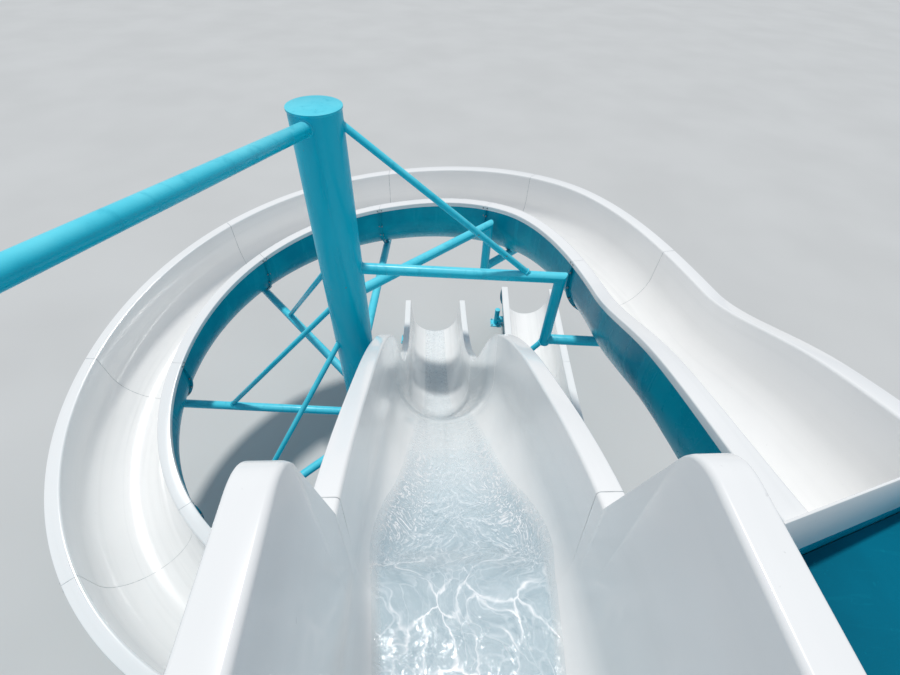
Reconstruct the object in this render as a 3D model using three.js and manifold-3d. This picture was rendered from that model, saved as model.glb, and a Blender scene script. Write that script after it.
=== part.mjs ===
// Water slide tower: a curved slide that winds once around a steel column, a straight slide beside the
// column, and the start platform that both slides leave from.
// Millimetres, +Z up. The origin is the middle of the column's foot, on the ground, and the riders leave
// the platform towards +Y.
import * as THREE from 'three';
import Module from 'manifold-3d';
import { mergeVertices } from 'three/addons/utils/BufferGeometryUtils.js';

const wasm = await Module();
wasm.setup();

// Fits
const GAP = 0.3;
const HALF_GAP = GAP / 2;

// Joined solids reach into each other by the overlap, and a cutting tool is as long as FAR
const OVERLAP = 1;
const FAR = 3000;

// Flumes: width over the rims, and depth from the rims' top to the underside
const CURVED_FLUME = { width: 950, depth: 640 };
const STRAIGHT_FLUME = { width: 1000, depth: 715 };

// Flume section: a thick wall whose outer skin stands just inside the rims' turned-down lips
const RIM_WIDTH = 100;
const LIP_DROP = 45;
const LIP_OVERHANG = 20;
const THROAT_CHAMFER = 15;
const FLOOR_THICKNESS = 20;
const TROUGH_SIDES = 8;

// Column and its fittings
const COLUMN_RADIUS = 161.95;
const COLUMN_TOP = 4920;
const COLUMN_SIDES = 24;
const BASE_PLATE_THICKNESS = 25;
const COLUMN_PLATE_RADIUS = 340;
const GUSSET = { reach: 130, height: 180, thickness: 16, toe: 25, root: 10, count: 6 };

// Pipes
const ARM_RADIUS = 44.45;
const STAY_RADIUS = 24.15;
const PIPE_SIDES = 10;

// Support arms: eight of them, 45 degrees apart. The first two hang below a higher arm.
const ARM_COUNT = 8;
const ARM_ANGLE = Math.PI / 4;
const ARM_SEAT_GAP = 5;
const ARM_DROP = CURVED_FLUME.depth + ARM_RADIUS + ARM_SEAT_GAP;
const ARM_REACH_PAST_SEAT = 115;
const ARM_HEIGHTS = { 1: 3740, 2: 3430 };
const HANGER_RADIUS_OUT = 1700;
const CRADLE = { length: 150, width: 420, rise: 200 };
const STAY_ARMS = [1, 4, 5, 6, 7, 8];
const STAY_RISE = 1560;
const STAY_OUT = 1480;
const STAY_TOP_EDGE = 75;
const STRUT_AIM = 620;
const STRUT_SHARE = 0.42;

// Bracket from the column, and legs, under the slides
const BRACKET_DROP = 420;
const LEG_OUT = 500;
const LEG_RISE = 185;
const LEG_PLATE = 200;
const LEG_PLATE_THICKNESS = 15;
const LEG_BAR = 90;
const LEG_INSET = 110;

// Curved slide, in plan: a straight start, a quarter turn, three tighter quarters, a straight exit
const START_Y = -2300;
const TURN_Y = -165;
const FIRST_TURN_RADIUS = 2380;
const COIL_RADIUS = FIRST_TURN_RADIUS + TURN_Y;
const EXIT_LENGTH = 3460;
const RUN_OUT = 400;
const CURVED_STEP = 430;

// How far the curved slide has turned at each of its joints, in degrees
const JOINT_TURNS = [14, 52.5, 90, 135, 180, 225, 270, 315, 360];

// The curved slide's rear lip stands across the channel, turned in plan
const LIP_TURN = THREE.MathUtils.degToRad(21);
const LIP_THICKNESS = 50;
const LIP_SWEEP = 700;
const LIP_CORNER = new THREE.Vector3(FIRST_TURN_RADIUS - CURVED_FLUME.width / 2, -2278, 0);

// Straight slide, in plan: one line a little to the left of +Y
const STRAIGHT_HEADING = THREE.MathUtils.degToRad(94.1);
const STRAIGHT_X = 1064;
const STRAIGHT_Y = -3700;
const STRAIGHT_STEP = 300;

// Platform
const DECK_TOP = 4200;
const DECK_BOTTOM = DECK_TOP - 60;
const JOIST_BOTTOM = DECK_BOTTOM - 200;
const JOIST_WIDTH = 60;
const JOIST_PLACES = [330, 1690, 3050];
const BEAM_TOP = JOIST_BOTTOM - GAP;
const BEAM_BOTTOM = BEAM_TOP - 160;
const BEAM_WIDTH = 80;
const DECK = { left: -640, right: 3260, rear: -4930, front: -2900 };
const POST_RADIUS = 84.15;
const POST_TOP = 5450;
const POST_SIDES = 16;
const POST_PLATE = 300;
const POST_LEFT = -550;
const POST_RIGHT = 3170;
const POST_FRONT = -3050;
const POST_REAR = -4840;
const RAIL_RADIUS = 21.2;
const RAIL_SIDES = 6;
const RAIL_HEIGHT = 1100;
const RAIL_ROWS = 4;
const RAIL_BAY = 1200;
const RAIL_FRONT_END = -1860;
const FRONT_RAIL_END = 110;
const GUARD_END = 60;
const DECK_FRONT_RIGHT = -1600;
const DECK_BEHIND_LIP = 60;
const TUB_CLEARANCE = 4;
const TUB_REAR_CLEARANCE = 65;
const BRACE_FOOT = 350;
const BRACE_HEAD = 120;
const TIE_COLUMN_HEIGHT = 4815;
const TIE_POST_HEIGHT = 5310;

// Start tub of the straight slide, which rests on the front beam and has tall side walls
const TUB_REST_Y = POST_FRONT + BEAM_WIDTH / 2;
const TUB_REST_HEIGHT = BEAM_TOP + STRAIGHT_FLUME.depth + 10;
const TUB_FALL = 0.1;
const TUB_WALL_TOP = 5120;
const TUB_WALL_BEND_Y = -2600;
const TUB_WALL_FRONT_Y = -2260;
const TUB_WALL_FOOT_Y = -2190;
const TUB_CORNER = 110;

// Stair
const STAIR_WIDTH = 840;
const RISERS_PER_FLIGHT = 10;
const TREAD_GOING = 255;
const TREAD_THICKNESS = 40;
const LANDING_LENGTH = 900;
const LANDING_THICKNESS = 60;
const LANDING_LEG_INSET = ARM_RADIUS + 10;
const STAIR_SIDE = -4730;
const STRINGER = { thickness: 12, depth: 400, above: 180 };
const RAIL_FOOT_DROP = 60;
const RAIL_END = 60;

const UP = new THREE.Vector3(0, 0, 1);
const CYLINDER_AXIS = new THREE.Vector3(0, 1, 0);

const gelcoat = new THREE.MeshStandardMaterial({ color: 0xf2f3f4, roughness: 0.25, metalness: 0 });
const steelPaint = new THREE.MeshStandardMaterial({ color: 0x1ba7bd, roughness: 0.35, metalness: 0 });
const deckPaint = new THREE.MeshStandardMaterial({ color: 0x0f8ea3, roughness: 0.6, metalness: 0 });

const tower = new THREE.Group();

// Solids

/** Closed solid of a three.js geometry. */
function solid(geometry) {
  const bare = geometry.index ? geometry.toNonIndexed() : geometry;
  bare.deleteAttribute('normal');
  bare.deleteAttribute('uv');
  const merged = mergeVertices(bare, 0.001);
  return new wasm.Manifold(new wasm.Mesh({
    numProp: 3,
    vertProperties: Float32Array.from(merged.attributes.position.array),
    triVerts: Uint32Array.from(merged.index.array),
  }));
}

/** Three.js geometry of a solid. */
function geometryOf(body) {
  const mesh = body.getMesh();
  const geometry = new THREE.BufferGeometry();
  geometry.setAttribute('position', new THREE.BufferAttribute(Float32Array.from(mesh.vertProperties), 3));
  geometry.setIndex(new THREE.BufferAttribute(Uint32Array.from(mesh.triVerts), 1));
  geometry.computeVertexNormals();
  return geometry;
}

/** Adds a solid to the tower as a named mesh. */
function place(name, body, material) {
  const mesh = new THREE.Mesh(geometryOf(body), material);
  mesh.name = name;
  tower.add(mesh);
}

/** Joins a list of solids. */
function join(bodies) {
  return bodies.reduce((whole, body) => whole.add(body));
}

/** Cuts each of the tools from a solid. */
function carve(body, tools) {
  return tools.reduce((left, tool) => left.subtract(tool), body);
}

/** Box between two corners. */
function block(low, high) {
  const geometry = new THREE.BoxGeometry(high[0] - low[0], high[1] - low[1], high[2] - low[2]);
  geometry.translate((low[0] + high[0]) / 2, (low[1] + high[1]) / 2, (low[2] + high[2]) / 2);
  return solid(geometry);
}

/** Round bar between two points. */
function pipe(from, to, radius, sides = PIPE_SIDES) {
  const along = new THREE.Vector3().subVectors(to, from);
  const geometry = new THREE.CylinderGeometry(radius, radius, along.length(), sides);
  geometry.applyQuaternion(new THREE.Quaternion().setFromUnitVectors(CYLINDER_AXIS, along.normalize()));
  geometry.translate((from.x + to.x) / 2, (from.y + to.y) / 2, (from.z + to.z) / 2);
  return solid(geometry);
}

/** Upright round bar. */
function upright(x, y, low, high, radius, sides = PIPE_SIDES) {
  return pipe(new THREE.Vector3(x, y, low), new THREE.Vector3(x, y, high), radius, sides);
}

/** Point at a distance and a bearing from the column's axis. */
function around(angle, distance, height) {
  return new THREE.Vector3(distance * Math.cos(angle), distance * Math.sin(angle), height);
}

// Flume sections, with x across and y up from the rim's top

/** Points of a half-round trough, from its right end round the bottom to its left end. */
function troughArc(radius, depth) {
  return Array.from({ length: TROUGH_SIDES + 1 }, (_, index) => {
    const angle = -Math.PI * index / TROUGH_SIDES;
    return new THREE.Vector2(radius * Math.cos(angle), radius * Math.sin(angle) + radius - depth);
  });
}

/** Half the width of the outer skin. */
function skinReach({ width }) {
  return width / 2 - LIP_OVERHANG;
}

/** Arc of the outer skin. */
function outerArc(flumeSize) {
  return troughArc(skinReach(flumeSize), flumeSize.depth);
}

/** The same points on the other side, in the opposite order. */
function mirrored(points) {
  return points.map((point) => new THREE.Vector2(-point.x, point.y)).reverse();
}

/** The flume's wall with its rims and their turned-down lips. */
function flumeSection(flumeSize) {
  const half = flumeSize.width / 2;
  const throat = half - RIM_WIDTH;
  const inside = [
    new THREE.Vector2(half, -LIP_DROP),
    new THREE.Vector2(half, 0),
    new THREE.Vector2(throat, 0),
    new THREE.Vector2(throat - THROAT_CHAMFER, -THROAT_CHAMFER),
  ];
  const channel = troughArc(throat - THROAT_CHAMFER, flumeSize.depth - FLOOR_THICKNESS);
  const corner = [new THREE.Vector2(skinReach(flumeSize), -LIP_DROP)];
  const top = [...inside, ...channel, ...mirrored(inside)];
  const under = [...corner, ...outerArc(flumeSize), ...mirrored(corner)];
  return new THREE.Shape([...top, ...under.reverse()]);
}

/** Everything inside the outer skin, below the lips. */
function filledSection(flumeSize) {
  const corner = [new THREE.Vector2(skinReach(flumeSize), -LIP_DROP)];
  return new THREE.Shape([...corner, ...outerArc(flumeSize), ...mirrored(corner)]);
}

/** The whole outline of the flume, filled up to the rims. */
function lipSection(flumeSize) {
  const half = flumeSize.width / 2;
  const edge = [
    new THREE.Vector2(half, 0),
    new THREE.Vector2(half, -LIP_DROP),
    new THREE.Vector2(skinReach(flumeSize), -LIP_DROP),
  ];
  return new THREE.Shape([...edge, ...outerArc(flumeSize), ...mirrored(edge)]);
}

// Slide paths: a plan line and a rim height at each distance along it

/** Smooth height through a list of stations. */
function heightLine(stations) {
  const curve = new THREE.CubicInterpolant(
    stations.map((station) => station[0]),
    stations.map((station) => station[1]),
    1,
  );
  return (distance) => curve.evaluate(distance)[0];
}

/** A stretch of a slide between two distances, whose rims stay level across. */
class SlidePath extends THREE.Curve {
  constructor(slide, from, to) {
    super();
    this.slide = slide;
    this.from = from;
    this.to = to;
  }

  distanceAt(t) {
    return THREE.MathUtils.lerp(this.from, this.to, t);
  }

  getPoint(t) {
    const distance = this.distanceAt(t);
    const { x, y } = this.slide.plan(distance);
    return new THREE.Vector3(x, y, this.slide.height(distance));
  }

  getSpacedPoints(steps) {
    return Array.from({ length: steps + 1 }, (_, index) => this.getPoint(index / steps));
  }

  computeFrenetFrames(steps) {
    const frames = { tangents: [], normals: [], binormals: [] };
    for (let index = 0; index <= steps; index += 1) {
      const frame = frameAt(this.slide, this.distanceAt(index / steps));
      frames.tangents.push(frame.tangent);
      frames.normals.push(frame.across);
      frames.binormals.push(frame.up);
    }
    return frames;
  }
}

/** Directions along, across and up at a distance along a slide. */
function frameAt(slide, distance) {
  const probe = 5;
  const { heading } = slide.plan(distance);
  const rise = slide.height(distance + probe) - slide.height(distance - probe);
  const forward = new THREE.Vector3(Math.cos(heading), Math.sin(heading), 0);
  const across = new THREE.Vector3().crossVectors(UP, forward);
  const slope = slide.square ? rise / (2 * probe) : 0;
  const tangent = forward.addScaledVector(UP, slope).normalize();
  return { tangent, across, up: new THREE.Vector3().crossVectors(tangent, across) };
}

/** A section swept along a slide. */
function sweep(slide, section, from, to, steps) {
  const extrudePath = new SlidePath(slide, from, to);
  return solid(new THREE.ExtrudeGeometry(section, { steps, extrudePath }));
}

/** A section swept from one joint of a slide to the next, and past them by a margin. */
function slideModule(slide, index, section, margin) {
  const start = slide.joints[index] - margin;
  const end = slide.joints[index + 1] + margin;
  return sweep(slide, section, start, end, slide.steps(start, end));
}

/** Flume shell of one module. */
function flume(slide, index) {
  return slideModule(slide, index, flumeSection(slide.size), -HALF_GAP);
}

/** What the modules near a place on a slide fill, let down by the gap: the tool that shapes a cradle. */
function cradleTool(slide, distance) {
  const near = slide.joints.slice(0, -1).map((_, index) => index).filter((index) => (
    slide.joints[index] < distance + CRADLE.length && slide.joints[index + 1] > distance - CRADLE.length
  ));
  const filled = filledSection(slide.size);
  return join(near.map((index) => slideModule(slide, index, filled, GAP))).translate([0, 0, -GAP]);
}

// Curved slide

const quarter = Math.PI / 2;
const straightRun = TURN_Y - START_Y;
const firstTurnRun = FIRST_TURN_RADIUS * quarter;
const coilRun = COIL_RADIUS * 3 * quarter;
const coilStart = straightRun + firstTurnRun;
const exitStart = coilStart + coilRun;
const exitJoint = exitStart + EXIT_LENGTH / 2;
const curvedEnd = exitStart + EXIT_LENGTH;

/** Place and heading on the curved slide. */
function curvedPlan(distance) {
  if (distance < straightRun) {
    return { x: FIRST_TURN_RADIUS, y: START_Y + distance, heading: quarter };
  }
  if (distance < coilStart) {
    const angle = (distance - straightRun) / FIRST_TURN_RADIUS;
    const point = around(angle, FIRST_TURN_RADIUS, 0);
    return { x: point.x, y: point.y + TURN_Y, heading: quarter + angle };
  }
  if (distance < exitStart) {
    const angle = quarter + (distance - coilStart) / COIL_RADIUS;
    const point = around(angle, COIL_RADIUS, 0);
    return { x: point.x, y: point.y, heading: quarter + angle };
  }
  return { x: COIL_RADIUS, y: distance - exitStart, heading: quarter };
}

/** Distance along the curved slide where it has turned by a number of degrees. */
function whereTurned(degrees) {
  const angle = THREE.MathUtils.degToRad(degrees);
  return angle <= quarter
    ? straightRun + angle * FIRST_TURN_RADIUS
    : coilStart + (angle - quarter) * COIL_RADIUS;
}

const curved = {
  size: CURVED_FLUME,
  plan: curvedPlan,
  height: heightLine([
    [-RUN_OUT, 4755],
    [0, 4600],
    [straightRun / 2, 4247],
    [straightRun, 3785],
    [whereTurned(45), 3612],
    [whereTurned(90), 3235],
    [whereTurned(135), 2862],
    [whereTurned(180), 2472],
    [whereTurned(225), 2160],
    [whereTurned(270), 1720],
    [whereTurned(315), 1330],
    [exitStart, 1000],
    [exitStart + EXIT_LENGTH * 0.4, 850],
    [curvedEnd, 800],
    [curvedEnd + RUN_OUT, 800],
  ]),
  square: false,
  joints: [0, ...JOINT_TURNS.map(whereTurned), exitJoint, curvedEnd],
  steps: (from, to) => Math.round((to - from) / CURVED_STEP),
};

/** Upright slab along the lip's line, between two distances behind its rear face. */
function lipSlab(front, rear) {
  const geometry = new THREE.BoxGeometry(2 * FAR, front - rear, 2 * FAR);
  geometry.translate(0, (front + rear) / 2, DECK_TOP);
  geometry.rotateZ(LIP_TURN);
  geometry.translate(LIP_CORNER.x, LIP_CORNER.y, 0);
  return solid(geometry);
}

/** First module, cut off along the rear lip, with the wall that closes it there. */
function curvedStart() {
  const shell = flume(curved, 0);
  const lip = sweep(curved, lipSection(curved.size), 0, LIP_SWEEP, 1).intersect(lipSlab(LIP_THICKNESS, 0));
  return shell.subtract(lipSlab(0, -FAR)).add(lip);
}

place('curved_slide_start', curvedStart(), gelcoat);
for (let number = 1; number <= 8; number += 1) {
  place(`curved_slide_turn_${number}`, flume(curved, number), gelcoat);
}
place('curved_slide_exit_upper', flume(curved, 9), gelcoat);
place('curved_slide_exit_lower', flume(curved, 10), gelcoat);

// Straight slide

const straightRise = Math.sin(STRAIGHT_HEADING);

/** Distance along the straight slide at a y value. */
function straightAt(y) {
  return (y - STRAIGHT_Y) / straightRise;
}

const straight = {
  size: STRAIGHT_FLUME,
  plan: (distance) => ({
    x: STRAIGHT_X + distance * Math.cos(STRAIGHT_HEADING),
    y: STRAIGHT_Y + distance * straightRise,
    heading: STRAIGHT_HEADING,
  }),
  height: heightLine([
    [-RUN_OUT, TUB_REST_HEIGHT + TUB_FALL * (TUB_REST_Y - STRAIGHT_Y + RUN_OUT)],
    [0, TUB_REST_HEIGHT + TUB_FALL * (TUB_REST_Y - STRAIGHT_Y)],
    [straightAt(TUB_REST_Y), TUB_REST_HEIGHT],
    [straightAt(-2500), 4612],
    [straightAt(-2100), 4515],
    [straightAt(-1410), 4180],
    [straightAt(-870), 3850],
    [straightAt(-400), 3460],
    [straightAt(-100), 3120],
    [straightAt(200), 2650],
    [straightAt(500), 2160],
    [straightAt(800), 1790],
    [straightAt(1110), 1520],
    [straightAt(1600), 1150],
    [straightAt(2200), 930],
    [straightAt(2950), 850],
    [straightAt(3350), 840],
  ]),
  square: true,
  joints: [STRAIGHT_Y, -2150, -350, 950, 1950, 2950].map(straightAt),
  steps: (from, to) => Math.round((to - from) / STRAIGHT_STEP),
};

/** Side view of a tub wall, with x along the slide and y up. */
function tubWallOutline() {
  const rear = HALF_GAP;
  const front = straightAt(TUB_WALL_FRONT_Y);
  const foot = straightAt(TUB_WALL_FOOT_Y);
  const bend = straightAt(TUB_WALL_BEND_Y);
  const outline = new THREE.Shape();
  outline.moveTo(rear, straight.height(rear) - LIP_DROP);
  outline.lineTo(bend, straight.height(bend) - LIP_DROP);
  outline.lineTo(foot, straight.height(foot) - LIP_DROP / 2);
  outline.lineTo(front + TUB_CORNER / 2, TUB_WALL_TOP - TUB_CORNER);
  outline.quadraticCurveTo(front, TUB_WALL_TOP, front - TUB_CORNER, TUB_WALL_TOP);
  outline.lineTo(rear, TUB_WALL_TOP);
  return outline;
}

/** Tub wall between two distances across, left of the middle being positive. */
function tubWall(near, far) {
  const geometry = new THREE.ExtrudeGeometry(tubWallOutline(), {
    depth: far - near,
    bevelEnabled: false,
    curveSegments: 4,
  });
  // The outline's x runs along the slide, its y goes up, and its depth goes to the right
  const along = new THREE.Vector3(Math.cos(STRAIGHT_HEADING), straightRise, 0);
  const right = new THREE.Vector3().crossVectors(along, UP);
  const origin = new THREE.Vector3(STRAIGHT_X, STRAIGHT_Y, 0).addScaledVector(right, near);
  geometry.applyMatrix4(new THREE.Matrix4().makeBasis(along, UP, right).setPosition(origin));
  return solid(geometry);
}

function startTub() {
  const half = STRAIGHT_FLUME.width / 2;
  return join([
    flume(straight, 0),
    tubWall(half - RIM_WIDTH - THROAT_CHAMFER, half),
    tubWall(-half, -half + RIM_WIDTH + THROAT_CHAMFER),
  ]);
}

place('straight_slide_tub', startTub(), gelcoat);
for (let number = 1; number <= 3; number += 1) {
  place(`straight_slide_drop_${number}`, flume(straight, number), gelcoat);
}
place('straight_slide_exit', flume(straight, 4), gelcoat);

// Column

function mainColumn(grow = 0) {
  return upright(0, 0, BASE_PLATE_THICKNESS + GAP, COLUMN_TOP, COLUMN_RADIUS + grow, COLUMN_SIDES);
}

function basePlate() {
  const plate = upright(0, 0, 0, BASE_PLATE_THICKNESS, COLUMN_PLATE_RADIUS, COLUMN_SIDES);
  const gussets = Array.from({ length: GUSSET.count }, (_, index) => {
    const outline = new THREE.Shape();
    outline.moveTo(COLUMN_RADIUS - GUSSET.root, BASE_PLATE_THICKNESS - OVERLAP);
    outline.lineTo(COLUMN_RADIUS + GUSSET.reach, BASE_PLATE_THICKNESS - OVERLAP);
    outline.lineTo(COLUMN_RADIUS + GUSSET.reach, BASE_PLATE_THICKNESS + GUSSET.toe);
    outline.lineTo(COLUMN_RADIUS + GUSSET.toe, BASE_PLATE_THICKNESS + GUSSET.height);
    outline.lineTo(COLUMN_RADIUS - GUSSET.root, BASE_PLATE_THICKNESS + GUSSET.height);
    const geometry = new THREE.ExtrudeGeometry(outline, { depth: GUSSET.thickness, bevelEnabled: false });
    geometry.translate(0, 0, -GUSSET.thickness / 2);
    geometry.rotateX(quarter);
    geometry.rotateZ((index + 0.5) * Math.PI * 2 / GUSSET.count);
    return solid(geometry);
  });
  return carve(join([plate, ...gussets]), [mainColumn(GAP)]);
}

place('main_column', mainColumn(), steelPaint);
place('column_base_plate', basePlate(), steelPaint);

// Support arms

/** Bearing of an arm from the column. */
function armBearing(number) {
  return (number - 1) * ARM_ANGLE;
}

/** Distance along the curved slide where it passes over an arm. */
function armDistance(number) {
  const bearing = armBearing(number);
  const lead = bearing < quarter ? Math.asin(-TURN_Y * Math.cos(bearing) / FIRST_TURN_RADIUS) : 0;
  return whereTurned(THREE.MathUtils.radToDeg(bearing + lead));
}

/** Height of the part of an arm that lies under the flume. */
function armHeight(number) {
  return curved.height(armDistance(number)) - ARM_DROP;
}

/** Point under the flume's middle at an arm. */
function armSeat(number) {
  const { x, y } = curved.plan(armDistance(number));
  return new THREE.Vector3(x, y, armHeight(number));
}

/** Block that takes the flume's shape where it rests on an arm. */
function cradle(number) {
  const distance = armDistance(number);
  const seat = armSeat(number);
  const { heading } = curved.plan(distance);
  const geometry = new THREE.BoxGeometry(CRADLE.length, CRADLE.width, CRADLE.rise);
  geometry.rotateZ(heading);
  geometry.translate(seat.x, seat.y, seat.z + CRADLE.rise / 2);
  return carve(solid(geometry), [cradleTool(curved, distance)]);
}

/** One arm with its cradle. Where it has a higher part, a hanger joins the two. */
function supportArm(number) {
  const bearing = armBearing(number);
  const low = armHeight(number);
  const end = armSeat(number).add(around(bearing, ARM_REACH_PAST_SEAT, 0));
  const high = ARM_HEIGHTS[number];
  if (!high) {
    return join([pipe(around(bearing, 0, low), end, ARM_RADIUS), cradle(number)]);
  }
  const elbow = around(bearing, HANGER_RADIUS_OUT, high);
  const foot = around(bearing, HANGER_RADIUS_OUT, low);
  return join([
    pipe(around(bearing, 0, high), elbow.clone().add(around(bearing, ARM_RADIUS, 0)), ARM_RADIUS),
    pipe(elbow, foot.clone().setZ(low - ARM_RADIUS), ARM_RADIUS),
    pipe(foot, end, ARM_RADIUS),
    cradle(number),
  ]);
}

for (let number = 1; number <= ARM_COUNT; number += 1) {
  place(`support_arm_${number}`, carve(supportArm(number), [mainColumn(GAP)]), steelPaint);
}

/** Bar that follows an arm's pipe with the gap around it, to cut what rests on the pipe. */
function armTool(number) {
  const bearing = armBearing(number);
  const height = ARM_HEIGHTS[number] ?? armHeight(number);
  return pipe(around(bearing, 0, height), around(bearing, HANGER_RADIUS_OUT, height), ARM_RADIUS + GAP);
}

for (const number of STAY_ARMS) {
  const bearing = armBearing(number);
  const height = ARM_HEIGHTS[number] ?? armHeight(number);
  const top = Math.min(height + STAY_RISE, COLUMN_TOP - STAY_TOP_EDGE);
  const root = COLUMN_RADIUS - ARM_RADIUS;
  const bar = pipe(around(bearing, root, top), around(bearing, STAY_OUT, height), STAY_RADIUS);
  place(`arm_stay_${number}`, carve(bar, [mainColumn(GAP), armTool(number)]), steelPaint);
}

// Raking strut from the hanger of the first arm, aimed at the column's foot, to the straight slide's side
const hangerFoot = around(armBearing(1), HANGER_RADIUS_OUT, armHeight(1));
const hangerTool = upright(
  hangerFoot.x,
  hangerFoot.y,
  hangerFoot.z - ARM_RADIUS - GAP,
  ARM_HEIGHTS[1],
  ARM_RADIUS + GAP,
);
const lowArmTool = pipe(hangerFoot, hangerFoot.clone().add(around(0, FAR, 0)), ARM_RADIUS + GAP);
const strutFoot = hangerFoot.clone().lerp(around(0, COLUMN_RADIUS, STRUT_AIM), STRUT_SHARE);
const strutTools = [hangerTool, lowArmTool, cradleTool(straight, straightAt(hangerFoot.y))];
place('raking_strut', carve(pipe(hangerFoot, strutFoot, STAY_RADIUS), strutTools), steelPaint);

// Bracket from the column under the straight slide

/** Lowest point of a slide's underside at a distance. */
function underside(slide, distance) {
  const { x, y } = slide.plan(distance);
  const { tangent } = frameAt(slide, distance);
  const depth = slide.size.depth / Math.hypot(tangent.x, tangent.y);
  return new THREE.Vector3(x, y, slide.height(distance) - depth);
}

/** Box on a slide's line whose top is cut to the flume's underside. */
function seatBlock(slide, distance, length, width, low, high) {
  const { x, y, heading } = slide.plan(distance);
  const geometry = new THREE.BoxGeometry(length, width, high - low);
  geometry.rotateZ(heading);
  geometry.translate(x, y, (low + high) / 2);
  return carve(solid(geometry), [cradleTool(slide, distance)]);
}

const bracketAt = straight.joints[2];
const bracketSeat = underside(straight, bracketAt);
const bracketHeight = bracketSeat.z - BRACKET_DROP;
const bracketArm = pipe(
  new THREE.Vector3(0, 0, bracketHeight),
  new THREE.Vector3(bracketSeat.x, bracketSeat.y, bracketHeight),
  ARM_RADIUS,
);
const bracketBlock = seatBlock(
  straight,
  bracketAt,
  CRADLE.length,
  CRADLE.width,
  bracketHeight - ARM_RADIUS / 2,
  bracketSeat.z + CRADLE.rise,
);
place('straight_slide_bracket', carve(join([bracketArm, bracketBlock]), [mainColumn(GAP)]), steelPaint);

// Legs under the lower ends of the slides

/** Frame of two legs and a crossbar that a slide rests on. */
function slideLegs(slide, distance) {
  const { across } = frameAt(slide, distance);
  const seat = underside(slide, distance);
  const high = seat.z + LEG_RISE;
  const bar = seatBlock(slide, distance, LEG_BAR, 2 * LEG_OUT, Math.max(seat.z - LEG_BAR, 0), high);
  const legs = [-1, 1].flatMap((side) => {
    const foot = new THREE.Vector3(seat.x, seat.y, 0).addScaledVector(across, side * LEG_OUT);
    const half = LEG_PLATE / 2;
    return [
      upright(foot.x, foot.y, 0, high, ARM_RADIUS),
      block([foot.x - half, foot.y - half, 0], [foot.x + half, foot.y + half, LEG_PLATE_THICKNESS]),
    ];
  });
  return join([bar, ...legs]);
}

place('curved_exit_legs', slideLegs(curved, curvedEnd - LEG_INSET), steelPaint);
place('straight_exit_legs', slideLegs(straight, straight.joints[5] - LEG_INSET), steelPaint);
place('straight_drop_legs', slideLegs(straight, straight.joints[3]), steelPaint);

// Platform

const POSTS = {
  front_left: [POST_LEFT, POST_FRONT],
  front_right: [POST_RIGHT, POST_FRONT],
  rear_left: [POST_LEFT, POST_REAR],
  rear_right: [POST_RIGHT, POST_REAR],
};

function postShaft([x, y], grow = 0) {
  return upright(x, y, 0, POST_TOP, POST_RADIUS + grow, POST_SIDES);
}

const postTools = Object.values(POSTS).map((post) => postShaft(post, GAP));

for (const [corner, [x, y]] of Object.entries(POSTS)) {
  const half = POST_PLATE / 2;
  const plate = block([x - half, y - half, 0], [x + half, y + half, BASE_PLATE_THICKNESS]);
  place(`post_${corner}`, join([postShaft([x, y]), plate]), steelPaint);
}

/** Deck plate with its joists, notched for the tub and cut along the curved slide's rear lip. */
function deck() {
  const plate = block([DECK.left, DECK.rear, DECK_BOTTOM], [DECK.right, DECK_FRONT_RIGHT, DECK_TOP]);
  const joists = JOIST_PLACES.map((x) => block(
    [x - JOIST_WIDTH / 2, POST_REAR, JOIST_BOTTOM],
    [x + JOIST_WIDTH / 2, DECK_FRONT_RIGHT, DECK_BOTTOM + OVERLAP],
  ));
  const low = JOIST_BOTTOM - OVERLAP;
  const high = DECK_TOP + OVERLAP;
  const cutLeft = block([DECK.left - OVERLAP, DECK.front, low], [STRAIGHT_X, 0, high]);
  const cutMiddle = block([STRAIGHT_X, LIP_CORNER.y - DECK_BEHIND_LIP, low], [LIP_CORNER.x, 0, high]);
  return carve(join([plate, ...joists]), [cutLeft, cutMiddle, tubNotch(), lipSlab(FAR, -GAP), ...postTools]);
}

/** Upright box along the straight slide, as wide as the tub and a little more. */
function tubNotch() {
  const geometry = new THREE.BoxGeometry(FAR, STRAIGHT_FLUME.width + 2 * TUB_CLEARANCE, FAR);
  geometry.translate(FAR / 2 - TUB_REAR_CLEARANCE, 0, 0);
  geometry.rotateZ(STRAIGHT_HEADING);
  geometry.translate(STRAIGHT_X, STRAIGHT_Y, DECK_TOP);
  return solid(geometry);
}

place('deck', deck(), deckPaint);

/** Edge beam between two posts. */
function edgeBeam([fromX, fromY], [toX, toY]) {
  const half = BEAM_WIDTH / 2;
  const alongX = fromY === toY;
  const [sideX, sideY] = alongX ? [0, half] : [half, 0];
  return carve(
    block([fromX - sideX, fromY - sideY, BEAM_BOTTOM], [toX + sideX, toY + sideY, BEAM_TOP]),
    postTools,
  );
}

/** Block on the front beam that the tub rests in. */
function tubRest() {
  const low = BEAM_TOP - OVERLAP;
  return seatBlock(straight, straightAt(POST_FRONT), BEAM_WIDTH, CRADLE.width, low, low + CRADLE.rise);
}

place('beam_front', edgeBeam(POSTS.front_left, POSTS.front_right).add(tubRest()), steelPaint);
place('beam_rear', edgeBeam(POSTS.rear_left, POSTS.rear_right), steelPaint);
place('beam_left', edgeBeam(POSTS.rear_left, POSTS.front_left), steelPaint);
place('beam_right', edgeBeam(POSTS.rear_right, POSTS.front_right), steelPaint);

/** Diagonal brace from the foot of one post to the head of another, outside the beams. */
function brace([fromX, fromY], [toX, toY]) {
  const from = new THREE.Vector3(fromX, fromY, BRACE_FOOT);
  const to = new THREE.Vector3(toX, toY, BEAM_BOTTOM - BRACE_HEAD);
  return carve(pipe(from, to, STAY_RADIUS), postTools);
}

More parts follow.
